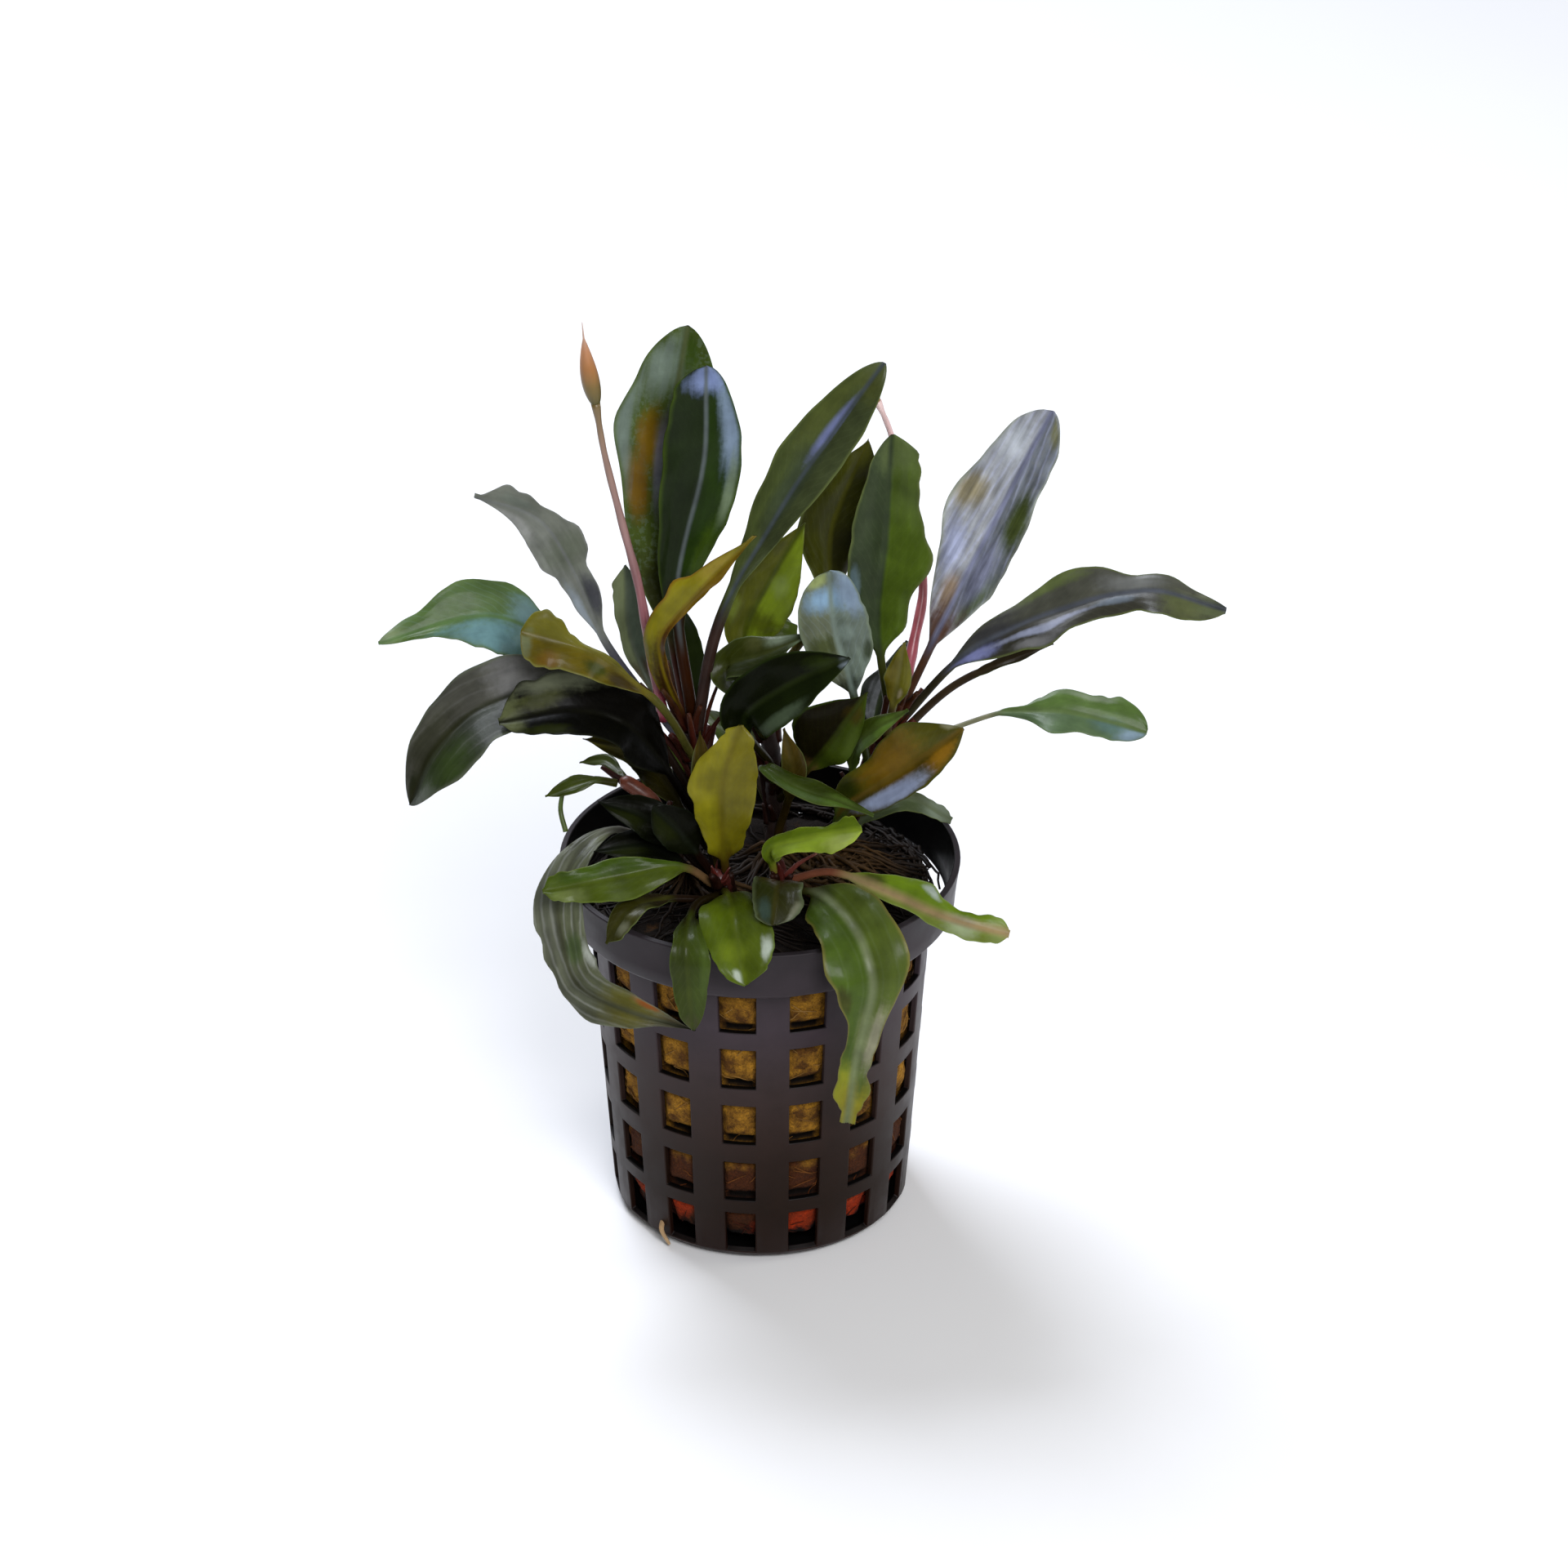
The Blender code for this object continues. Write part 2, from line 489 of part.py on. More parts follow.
def leaf_ring(leaf, line, share):
    """Eight points around the leaf at a share of its length."""
    centre, tangent = along(line, share)
    face = Vector(leaf.face).lerp(Vector(leaf.tip_face or leaf.face), share)
    across = tangent.cross(face).normalized()
    upward = across.cross(tangent)
    width = half_width(leaf, share)
    half = half_thickness(leaf, share)
    lift = math.tan(math.radians(leaf.fold)) * (width - PETIOLE_RADIUS)
    edge = 0.25 * half if width > PETIOLE_RADIUS * 1.2 else 0.0
    outline = (
        (-1.0, edge), (-0.6, 0.75 * half), (0.0, half), (0.6, 0.75 * half),
        (1.0, edge), (0.6, -0.75 * half), (0.0, -half), (-0.6, -0.75 * half),
    )
    return [centre + across * (side * width) + upward * (up + abs(side) * lift) for side, up in outline]


def leaf_stations(leaf):
    """Shares of the length where the leaf has a ring of points, closer together near the tip."""
    blade = [1.0 - (1.0 - k / leaf.stations) ** 1.3 for k in range(leaf.stations + 1)]
    return [0.0] + [leaf.petiole + (1.0 - leaf.petiole) * share for share in blade]


def build_leaf(leaf, collection):
    """A leaf lofted from its petiole to its tip."""
    line = smooth_line([leaf_root(leaf), *(Vector(point) for point in leaf.points)])
    bm = bmesh.new()
    rings = []
    for share in leaf_stations(leaf):
        rings.append([bm.verts.new(point * MM) for point in leaf_ring(leaf, line, share)])
    for low, high in zip(rings, rings[1:]):
        for k in range(8):
            bm.faces.new((low[k], low[k - 1], high[k - 1], high[k]))
    bm.faces.new(rings[0])
    bm.faces.new(rings[-1])
    mesh_object(leaf.name, bm, leaf.finish, collection, 60.0)


def main():
    clear_scene()
    parts = new_collection(COLLECTION)
    build_pot(parts)
    build_wool(parts)
    for stem in STEMS:
        build_tube(stem, parts, 4)
    for stalk in STALKS:
        build_tube(stalk, parts, 8)
        build_bud(stalk, parts)
    for leaf in LEAVES:
        build_leaf(leaf, parts)


main()
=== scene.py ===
"""Potted bucephalandra: the dressed model of a small water plant in a slotted net pot.

Sizes are millimetres in the tables and metres in the scene. +Z is up, the front faces -Y, and the
pot's axis is x = y = 0. Each leaf is lofted round the line that its solid follows, so it stays where
the solid is.
"""

import logging
import math
import random
from dataclasses import dataclass, replace
from enum import Enum

import bmesh
import bpy
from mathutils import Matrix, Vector, noise


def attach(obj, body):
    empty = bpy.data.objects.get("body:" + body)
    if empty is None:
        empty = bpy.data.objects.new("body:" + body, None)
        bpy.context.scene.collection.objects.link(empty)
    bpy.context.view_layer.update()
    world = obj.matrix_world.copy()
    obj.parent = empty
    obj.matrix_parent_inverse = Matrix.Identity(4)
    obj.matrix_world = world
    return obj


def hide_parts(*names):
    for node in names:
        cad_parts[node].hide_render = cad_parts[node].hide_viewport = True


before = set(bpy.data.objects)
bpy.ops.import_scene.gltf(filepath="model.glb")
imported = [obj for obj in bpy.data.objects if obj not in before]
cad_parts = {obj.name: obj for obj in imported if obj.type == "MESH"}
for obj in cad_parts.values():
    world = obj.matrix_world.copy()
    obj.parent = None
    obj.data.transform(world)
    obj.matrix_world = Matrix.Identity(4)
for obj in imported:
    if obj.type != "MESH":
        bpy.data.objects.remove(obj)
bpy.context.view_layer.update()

LOG = logging.getLogger("potted_bucephalandra")

MM = 0.001
BODY = "root"
SEED = 41

# Mesh attributes that the finishes read
PLACE = "leaf_place"
SPAN = "leaf_mm"
SHADE = "shade"

Point = tuple[float, float, float]
Ends = tuple[float, float, float, float]
Stops = tuple[tuple[float, float], ...]
Mesh = bmesh.types.BMesh
Piece = bpy.types.Object
Material = bpy.types.Material
Tree = bpy.types.NodeTree
Socket = bpy.types.NodeSocket

# Pot
POT_HEIGHT = 52.0
POT_WALL = 0.9
POT_COLUMNS = 15
PITCH = 360.0 / POT_COLUMNS
FIRST_COLUMN = -7.5
HOLE_BOTTOMS = (1.8, 10.2, 19.5, 28.6, 37.6)
HOLE_HEIGHT = 6.2
RIB_WIDTH = 4.4
WALL_LOW = (3.0, 19.8)
WALL_HIGH = (44.0, 22.5)
WOOL_TOP = 46.5

# Ways that a leaf's upper side can face
FRONT: Point = (0.0, -0.9, 0.4)
UPWARD: Point = (0.0, -0.5, 0.85)

# Ends for lay_over where the value is the upper colour's share already
AS_IT_IS: Ends = (0.0, 1.0, 0.0, 1.0)


class Slot(Enum):
    """The record's material slots."""

    POT = "pot_plastic"
    WOOL = "mineral_wool"
    RHIZOME = "rhizome"
    STALK = "flower_stalk"
    BUD = "flower_bud"
    DARK = "leaf_dark"
    GREY = "leaf_grey_green"
    GREEN = "leaf_green"
    OLIVE = "leaf_olive"
    YOUNG = "leaf_young"


class Fade(Enum):
    """How one colour passes into another."""

    STRAIGHT = "LINEAR"
    SOFT = "SMOOTHSTEP"


def linear(code: str) -> tuple[float, float, float, float]:
    """Turns an sRGB hex colour into a linear one.

    Args:
        code: Six hex digits after a #.

    Returns:
        Red, green, blue and an alpha of 1.
    """
    shares = [int(code[i : i + 2], 16) / 255 for i in (1, 3, 5)]
    red, green, blue = (c / 12.92 if c <= 0.04045 else ((c + 0.055) / 1.055) ** 2.4 for c in shares)
    return red, green, blue, 1.0


def smoothstep(low: float, high: float, value: float) -> float:
    """Rises smoothly from 0 at low to 1 at high."""
    t = min(1.0, max(0.0, (value - low) / (high - low)))
    return t * t * (3.0 - 2.0 * t)


def follow(stops: Stops, at: float) -> float:
    """Reads a value that runs smoothly through stops, and is level outside them.

    Args:
        stops: Places with their values, in order.
        at: The place to read.

    Returns:
        The value there, or 1 where there are no stops.
    """
    if not stops:
        return 1.0
    if at <= stops[0][0]:
        return stops[0][1]
    for (low, first), (high, last) in zip(stops, stops[1:]):
        if at <= high:
            return first + (last - first) * smoothstep(low, high, at)
    return stops[-1][1]


def taper(first: float, last: float, count: int) -> list[float]:
    """Lists radii that change evenly from the first to the last."""
    return [first + (last - first) * k / (count - 1) for k in range(count)]


def round_axis(turn: float, radius: float, height: float) -> Point:
    """Gives the point at degrees from the front, positive to the right, at a radius and a height."""
    angle = math.radians(turn)
    return radius * math.sin(angle), -radius * math.cos(angle), height


def add_node(
    tree: Tree, kind: str, inputs: tuple | list | dict = (), **settings: object
) -> bpy.types.bpy_prop_collection:
    """Adds a shader node with its settings and links.

    Args:
        tree: The material's node tree.
        kind: Blender's identifier of the node, after ShaderNode.
        inputs: The node's inputs in their order, or by name or index: outputs to link, or values.
        settings: The node's own properties.

    Returns:
        The new node's outputs.
    """
    node = tree.nodes.new(f"ShaderNode{kind}")
    for key, value in settings.items():
        setattr(node, key, value)
    for key, value in inputs.items() if isinstance(inputs, dict) else enumerate(inputs):
        if isinstance(value, Socket):
            tree.links.new(value, node.inputs[key])
        else:
            node.inputs[key].default_value = value
    return node.outputs


def new_material(name: str, **values: float) -> tuple[Material, Tree]:
    """Makes a material with one Principled shader.

    Args:
        name: The material's name.
        values: Values of the shader's own sockets, with _ for each space in a socket's name.

    Returns:
        The material and its node tree.
    """
    material = bpy.data.materials.new(name)
    material.use_nodes = True
    shader = material.node_tree.nodes["Principled BSDF"]
    for key, value in values.items():
        shader.inputs[key.replace("_", " ")].default_value = value
    return material, material.node_tree


def lay_over(
    tree: Tree,
    below: str | Socket,
    above: str | Socket,
    value: Socket,
    ends: Ends = AS_IT_IS,
    fade: Fade = Fade.STRAIGHT,
) -> tuple[Socket, Socket]:
    """Lays one colour over another where a value calls for it.

    Args:
        tree: The material's node tree.
        below: The lower colour, a hex code or an output.
        above: The upper colour, likewise.
        value: What the upper colour's share depends on.
        ends: Two values, and the share at each.
        fade: How the share runs between them.

    Returns:
        The mixed colour and the upper colour's share.
    """
    share = add_node(tree, "MapRange", (value, *ends), interpolation_type=fade.value)[0]
    lower, upper = (linear(colour) if isinstance(colour, str) else colour for colour in (below, above))
    return add_node(tree, "Mix", {0: share, 6: lower, 7: upper}, data_type="RGBA")[2], share


def link_shader(
    tree: Tree,
    colour: Socket,
    tone: Socket,
    relief: Socket,
    depth: tuple[float, float],
    roughness: Socket | None = None,
) -> None:
    """Feeds a finish to its shader.

    Args:
        tree: The material's node tree.
        colour: The colour.
        tone: What the colour's brightness is multiplied by.
        relief: The height of the surface's relief.
        depth: The relief's strength, and its depth in millimetres.
        roughness: The roughness, where it isn't the same all over.
    """
    strength, depth_mm = depth
    bump = {"Strength": strength, "Distance": depth_mm * MM, "Height": relief}
    sources = {
        "Base Color": add_node(tree, "HueSaturation", {"Value": tone, "Color": colour})[0],
        "Normal": add_node(tree, "Bump", bump)[0],
    }
    if roughness is not None:
        sources["Roughness"] = roughness
    for name, source in sources.items():
        tree.links.new(source, tree.nodes["Principled BSDF"].inputs[name])


def smooth_line(points: list[Vector], per_step: int = 8) -> list[Vector]:
    """Draws a finely divided curve through points.

    Args:
        points: The points it passes.
        per_step: Steps between two of them.

    Returns:
        The curve's own points.
    """
    ends = [2 * points[0] - points[1], *points, 2 * points[-1] - points[-2]]
    line = []
    for before, a, b, after in zip(ends, ends[1:], ends[2:], ends[3:]):
        step = (b - a).length
        leave = (b - before) * step / (step + (a - before).length)
        arrive = (after - a) * step / ((after - b).length + step)
        for k in range(per_step):
            t = k / per_step
            line.append(
                a * (2 * t**3 - 3 * t**2 + 1)
                + leave * (t**3 - 2 * t**2 + t)
                + b * (3 * t**2 - 2 * t**3)
                + arrive * (t**3 - t**2)
            )
    return [*line, points[-1]]


def length_of(line: list[Vector]) -> float:
    """Gives the length of a line of points."""
    return sum((b - a).length for a, b in zip(line, line[1:]))


def along(line: list[Vector], share: float) -> tuple[Vector, Vector]:
    """Finds the point at a share of a line's length.

    Args:
        line: The line's points.
        share: The share, which counts as 0 below 0.

    Returns:
        The point, and the direction of the step that it lies on.
    """
    left = max(0.0, share) * length_of(line)
    for a, b in zip(line, line[1:]):
        step = (b - a).length
        if left <= step or b is line[-1]:
            break
        left -= step
    return a.lerp(b, min(left / step, 1.0)), (b - a).normalized()


def heading(line: list[Vector], share: float, reach: float = 0.015) -> Vector:
    """Gives the direction of a line at a share of its length, smoothed over a short reach."""
    return (along(line, min(1.0, share + reach))[0] - along(line, share - reach)[0]).normalized()


def join_rings(bm: Mesh, rings: list[list[bmesh.types.BMVert]]) -> None:
    """Closes rings of points to a skin with two end faces.

    Args:
        bm: The mesh that has the points.
        rings: The rings in order, each with as many points.
    """
    for low, high in zip(rings, rings[1:]):
        for j in range(len(low)):
            bm.faces.new((low[j - 1], low[j], high[j], high[j - 1]))
    bm.faces.new(rings[0][::-1])
    bm.faces.new(rings[-1])


def add_tube(bm: Mesh, line: list[Vector], radii: list[float], sides: int) -> None:
    """Adds a closed tube.

    Args:
        bm: The mesh that gets it.
        line: Its middle line, in millimetres.
        radii: Its radius at each of those points.
        sides: Points round it.
    """
    last = len(line) - 1
    normal = (line[1] - line[0]).normalized().orthogonal().normalized()
    rings = []
    for k, point in enumerate(line):
        tangent = (line[min(k + 1, last)] - line[max(k - 1, 0)]).normalized()
        normal = (normal - tangent * normal.dot(tangent)).normalized()
        side = tangent.cross(normal)
        ring = []
        for j in range(sides):
            turn = math.tau * j / sides
            spoke = normal * math.cos(turn) + side * math.sin(turn)
            ring.append(bm.verts.new((point + spoke * radii[k]) * MM))
        rings.append(ring)
    join_rings(bm, rings)


def make_piece(name: str, bm: Mesh, material: Material, replaces: tuple[str, ...] = ()) -> Piece:
    """Turns a mesh into a piece that rides on the plant's body.

    Args:
        name: The piece's name.
        bm: Its mesh, which is freed.
        material: Its finish.
        replaces: The solids that the piece is shown for.

    Returns:
        The new object.
    """
    bmesh.ops.recalc_face_normals(bm, faces=bm.faces)
    mesh = bpy.data.meshes.new(name)
    bm.to_mesh(mesh)
    bm.free()
    mesh.shade_smooth()
    mesh.materials.append(material)
    piece = bpy.data.objects.new(name, mesh)
    bpy.context.scene.collection.objects.link(piece)
    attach(piece, BODY)
    if replaces:
        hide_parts(*replaces)
    LOG.info("%s: %d faces, finish %s", name, len(mesh.polygons), material.name)
    return piece


@dataclass(frozen=True)
class Patch:
    """A soft-edged patch of another colour on a leaf, used for its own marks and for painted highlights.

    across and along are its centre and wide and long its half sizes, as shares of the leaf's half
    width and of its blade's length. It fades out between the two reaches, in half sizes, and fray is
    how much the leaf's fibres and its cells shift that edge.
    """

    colour: str
    across: float
    along: float
    wide: float
    long: float
    strength: float = 0.8
    reaches: tuple[float, float] = (0.9, 1.8)
    fray: tuple[float, float] = (0.8, 0.4)

    def layer(
        self, tree: Tree, place: Socket, fibres: Socket, cells: Socket
    ) -> tuple[str, Socket, Ends, Fade]:
        """Builds how far away its centre is, frayed by the leaf's fibres and cells.

        Args:
            tree: The material's node tree.
            place: Shares of the half width and of the blade's length.
            fibres: Noise drawn out along the leaf.
            cells: Fine noise.

        Returns:
            A layer of a leaf's skin: its colour, what it depends on, the ends of that and the fade.
        """
        moved = add_node(tree, "VectorMath", (place, (self.across, self.along, 0.0)), operation="SUBTRACT")[0]
        # The third number is large, so that the upper side and the underside count as one
        scaled = add_node(tree, "VectorMath", (moved, (self.wide, self.long, 1000.0)), operation="DIVIDE")[0]
        distance = add_node(tree, "VectorMath", (scaled,), operation="LENGTH")["Value"]
        for source, amount in zip((fibres, cells), self.fray):
            distance = add_node(tree, "Math", (source, amount, distance), operation="MULTIPLY_ADD")[0]
        return self.colour, distance, (*self.reaches, self.strength, 0.0), Fade.SOFT


@dataclass(frozen=True)
class LeafSkin:
    """The waxy skin of a living leaf.

    The cuticle is a smooth wax over raised cells, so it has a soft gloss with a sharper one on top.
    minus and plus are the two halves beside the midrib. vein_mm is the distance between side veins,
    vein_run says how they run, as weights of the distance from the midrib and along the leaf, and
    vein_drift how far they stray. cell_mm, cloud_mm and fibre_mm are the sizes of the fine grain, of
    the broad shading and of the fibres, across and along the leaf. Real cells are too fine to show,
    so the grain is drawn about ten times coarser. clouds and streaks are how much the shading and
    the fibres lighten and darken the leaf, and patches are rows of Patch, which hold the leaf's own
    marks and its painted highlights.
    """

    name: str
    slot: Slot
    minus: str
    plus: str
    rib: str
    petiole: str
    under: str
    margin: str = "#566032"
    vein: str = "#7d8660"
    mottle: str = "#6b5a1c"
    rib_mm: float = 0.32
    margin_share: float = 0.06
    vein_mm: float = 1.7
    vein_strength: float = 0.03
    mottle_strength: float = 0.0
    roughness: float = 0.34
    specular: float = 0.14
    coat: float = 0.1
    vein_run: tuple[float, float] = (-1.9, 1.0)
    vein_drift: float = 3.0
    streaks: float = 0.1
    clouds: float = 0.24
    cell_mm: float = 0.625
    cloud_mm: float = 10.0 / 3.0
    fibre_mm: tuple[float, float] = (1.0 / 1.3, 1.0 / 0.12)
    relief_mm: float = 0.08
    patches: tuple[tuple, ...] = ()

    def build(self) -> Material:
        """Makes the finish, the first time that it is asked for.

        Returns:
            The material.
        """
        found = bpy.data.materials.get(self.name)
        if found:
            return found
        material, tree = new_material(
            self.name, IOR=1.45, Specular_IOR_Level=self.specular, Coat_Weight=self.coat,
            Coat_Roughness=0.16, Coat_IOR=1.45,
        )
        place = add_node(tree, "Attribute", attribute_name=PLACE)["Vector"]
        span = add_node(tree, "Attribute", attribute_name=SPAN)["Vector"]
        across, share, top = add_node(tree, "SeparateXYZ", (place,))
        side_mm, along_mm, _ = add_node(tree, "SeparateXYZ", (span,))
        wide, long = self.fibre_mm
        drawn_out = add_node(tree, "VectorMath", (span, (1.0 / wide, 1.0 / long, 1.0)), operation="MULTIPLY")[0]
        noises = ((span, self.cell_mm, 5.0), (span, self.cloud_mm, 3.0), (drawn_out, 1.0, 3.0))
        cells, clouds, fibres = (
            add_node(tree, "TexNoise", {"Vector": vector, "Scale": 1.0 / size, "Detail": detail})[0]
            for vector, size, detail in noises
        )
        edge = add_node(tree, "Math", (across,), operation="ABSOLUTE")[0]
        off = add_node(tree, "Math", (side_mm,), operation="ABSOLUTE")[0]
        # What lies over the two halves and their veins, from the lowest up
        layers = (
            (self.mottle, cells, (0.5, 0.6, 0.0, self.mottle_strength), Fade.SOFT),
            *(Patch(*row).layer(tree, place, fibres, cells) for row in self.patches),
            (self.margin, edge, (1.0 - 2.0 * self.margin_share, 1.0, 0.0, 0.85), Fade.SOFT),
            (self.rib, off, (0.0, 2.0 * self.rib_mm, 0.9, 0.0), Fade.SOFT),
            (self.petiole, share, (-0.04, 0.1, 1.0, 0.0), Fade.SOFT),
            (self.under, top, (0.2, 0.6, 0.75, 0.0), Fade.STRAIGHT),
        )
        # The border between the halves strays a little to either side of the midrib
        wander = add_node(tree, "Math", (clouds, 0.24, across), operation="MULTIPLY_ADD")[0]
        colour, _ = lay_over(tree, self.minus, self.plus, wander, (0.02, 0.22, 0.0, 1.0), Fade.SOFT)
        pace = self.vein_pace(tree, off, along_mm, clouds)
        colour, veins = lay_over(tree, colour, self.vein, pace, (0.0, 0.28, self.vein_strength, 0.0), Fade.SOFT)
        for code, value, ends, fade in layers:
            colour, _ = lay_over(tree, colour, code, value, ends, fade)
        tones = [
            add_node(tree, "MapRange", (source, 0.28, 0.72, 1.0 - reach, 1.0 + reach))[0]
            for source, reach in ((clouds, self.clouds), (fibres, self.streaks))
        ]
        tone = add_node(tree, "Math", tones, operation="MULTIPLY")[0]
        relief = add_node(tree, "Math", (veins, -0.8, cells), operation="MULTIPLY_ADD")[0]
        gloss = add_node(tree, "MapRange", (cells, 0.3, 0.7, self.roughness, self.roughness + 0.14))[0]
        link_shader(tree, colour, tone, relief, (0.35, self.relief_mm), gloss)
        return material

    def vein_pace(self, tree: Tree, off: Socket, along_mm: Socket, clouds: Socket) -> Socket:
        """Builds the distance to the nearest side vein.

        Args:
            tree: The material's node tree.
            off: Distance from the midrib.
            along_mm: Distance along the leaf.
            clouds: Broad noise, which makes the veins stray.

        Returns:
            The distance, in millimetres across the veins.
        """
        outward, upward = self.vein_run
        run = add_node(tree, "Math", (along_mm, upward), operation="MULTIPLY")[0]
        straight = add_node(tree, "Math", (off, outward, run), operation="MULTIPLY_ADD")[0]
        slant = add_node(tree, "Math", (clouds, self.vein_drift, straight), operation="MULTIPLY_ADD")[0]
        return add_node(tree, "Math", (slant, self.vein_mm / 2), operation="PINGPONG")[0]


@dataclass(frozen=True)
class GradedSkin:
    """A surface whose colour changes with height and is broken up by a fine grain.

    stops are heights in millimetres with their colours. grain_mm is the size of the grain, tall how
    much longer it is upwards than across, and relief_mm its depth. inner, where given, is painted
    shade: the colour of what faces the upright axis, and of level faces up to the radius inner_mm.
    """

    name: str
    stops: tuple[tuple[float, str], ...]
    roughness: float = 0.5
    coat: float = 0.0
    grain_mm: float = 0.6
    tall: float = 1.0
    contrast: float = 0.3
    relief_mm: float = 0.08
    specular: float = 0.5
    inner: str = ""
    inner_mm: float = 25.0

    def build(self) -> Material:
        """Makes the finish, the first time that it is asked for.

        Returns:
            The material.
        """
        found = bpy.data.materials.get(self.name)
        if found:
            return found
        material, tree = new_material(
            self.name, IOR=1.47, Coat_Weight=self.coat, Coat_Roughness=0.25, Specular_IOR_Level=self.specular
        )
        where = add_node(tree, "TexCoord")["Object"]
        height = add_node(tree, "SeparateXYZ", (where,))[2]
        (low, first), *between, (high, last) = self.stops
        rise = add_node(tree, "MapRange", (height, low * MM, high * MM))[0]
        colour = add_node(tree, "ValToRGB", (rise,))[0]
        elements = colour.node.color_ramp.elements
        elements[0].color, elements[1].color = linear(first), linear(last)
        for level, code in between:
            elements.new((level - low) / (high - low)).color = linear(code)
        # The inner colour is painted shade over the inside
        if self.inner:
            colour, _ = lay_over(tree, colour, self.inner, self.inside(tree, where))
        stretched = add_node(tree, "VectorMath", (where, (1.0, 1.0, 1.0 / self.tall)), operation="MULTIPLY")[0]
        # A grain is half a period of the noise
        grain = add_node(
            tree, "TexNoise", {"Vector": stretched, "Scale": 0.5 / (self.grain_mm * MM), "Detail": 5.0}
        )[0]
        tone = add_node(tree, "MapRange", (grain, 0.25, 0.75, 1.0 - self.contrast, 1.0 + self.contrast))[0]
        gloss = add_node(tree, "MapRange", (grain, 0.3, 0.7, self.roughness - 0.06, self.roughness + 0.08))[0]
        link_shader(tree, colour, tone, grain, (0.7, self.relief_mm), gloss)
        return material

    def inside(self, tree: Tree, where: Socket) -> Socket:
        """Builds how far a place counts as the inside, where the inner colour paints shade.

        Args:
            tree: The material's node tree.
            where: The place.

        Returns:
            A share that is 1 on what faces the axis, and on level faces near it.
        """
        flat = add_node(tree, "VectorMath", (where, (1.0, 1.0, 0.0)), operation="MULTIPLY")[0]
        outward = add_node(tree, "VectorMath", (flat,), operation="NORMALIZE")[0]
        normal = add_node(tree, "NewGeometry")["Normal"]
        facing = add_node(tree, "VectorMath", (outward, normal), operation="DOT_PRODUCT")["Value"]
        inward = add_node(tree, "MapRange", (facing, 0.1, -0.5))[0]
        away = add_node(tree, "VectorMath", (flat,), operation="LENGTH")["Value"]
        near = add_node(tree, "MapRange", (away, self.inner_mm * MM, (self.inner_mm + 0.3) * MM, 1.0, 0.0))[0]
        upward = add_node(tree, "SeparateXYZ", (normal,))[2]
        level = add_node(tree, "Math", (near, upward), operation="MULTIPLY", use_clamp=True)[0]
        return add_node(tree, "Math", (inward, level), operation="MAXIMUM")[0]


@dataclass(frozen=True)
class Rhizome:
    """A creeping stem, round and ringed with old leaf scars.

    sunk is how far its foot goes into the wool, scar_mm the distance between two scars, and
    tip_share the part of its length that is rounded off.
    """

    name: str
    points: tuple[Point, ...]
    radius: float
    end_radius: float
    sunk: float = 1.6
    scar_mm: float = 1.15
    scar_height: float = 0.12
    tip_share: float = 0.06
    wander: float = 0.25
    steps: int = 44
    sides: int = 18

    def centre(self, share: float) -> tuple[Vector, Vector]:
        """Gives the point and the direction at a share of the solid's straight-sided line."""
        return along([Vector(point) for point in self.points], share)

    def radius_at(self, share: float) -> float:
        """Gives the radius at a share of the length."""
        return self.radius + (self.end_radius - self.radius) * share

    def build(self, finish: GradedSkin) -> None:
        """Lofts the stem with its scars and a rounded tip.

        Args:
            finish: Its bark.
        """
        points = [Vector(point) for point in self.points]
        points.insert(0, points[0] - Vector((0.0, 0.0, self.sunk)))
        line = smooth_line(points, 10)
        turns = math.pi * length_of(line) / self.scar_mm
        middle = []
        radii = []
        for k in range(self.steps + 1):
            share = k / self.steps
            here = along(line, share)[0]
            # A slow wander, read at two places far apart for the two directions
            drift = Vector((noise.noise(here * 0.35), noise.noise(here * 0.35 + Vector((9, 0, 0))), 0.0))
            middle.append(here + drift * self.wander)
            # Narrow raised rings, one every scar_mm
            scar = self.scar_height * math.sin(share * turns) ** 8
            tip = math.sqrt(max(0.02, 1.0 - max(0.0, (share + self.tip_share - 1.0) / self.tip_share) ** 2))
            radii.append((self.radius_at(share) + scar) * tip)
        bm = bmesh.new()
        add_tube(bm, middle, radii, self.sides)
        make_piece(self.name, bm, finish.build(), (self.name,))


STEMS = {
    stem.name: stem
    for stem in (
        Rhizome("stem_left", ((-5, 1, 47), (-7, 1, 58), (-9.7, 2, 71.5)), 1.4, 1.1),
        Rhizome("stem_right", ((8, 3, 47.4), (13, 3, 58.5), (19, 4, 72.5)), 1.4, 1.1),
        Rhizome("stem_front_left", ((-4, -8, 47.3), (-5.4, -11, 55.5)), 1.4, 1.2),
        Rhizome("stem_front_right", ((2.5, -7, 47.3), (2.9, -10, 54.8)), 1.4, 1.2),
        Rhizome("stem_middle", ((2, 5, 46.9), (2, 6, 60), (0, 7, 73)), 1.4, 1.1),
        Rhizome("stem_side", ((-10, -2, 47.1), (-14, -2.5, 61), (-18.5, -2, 64.5)), 1.1, 1.0),
    )
}


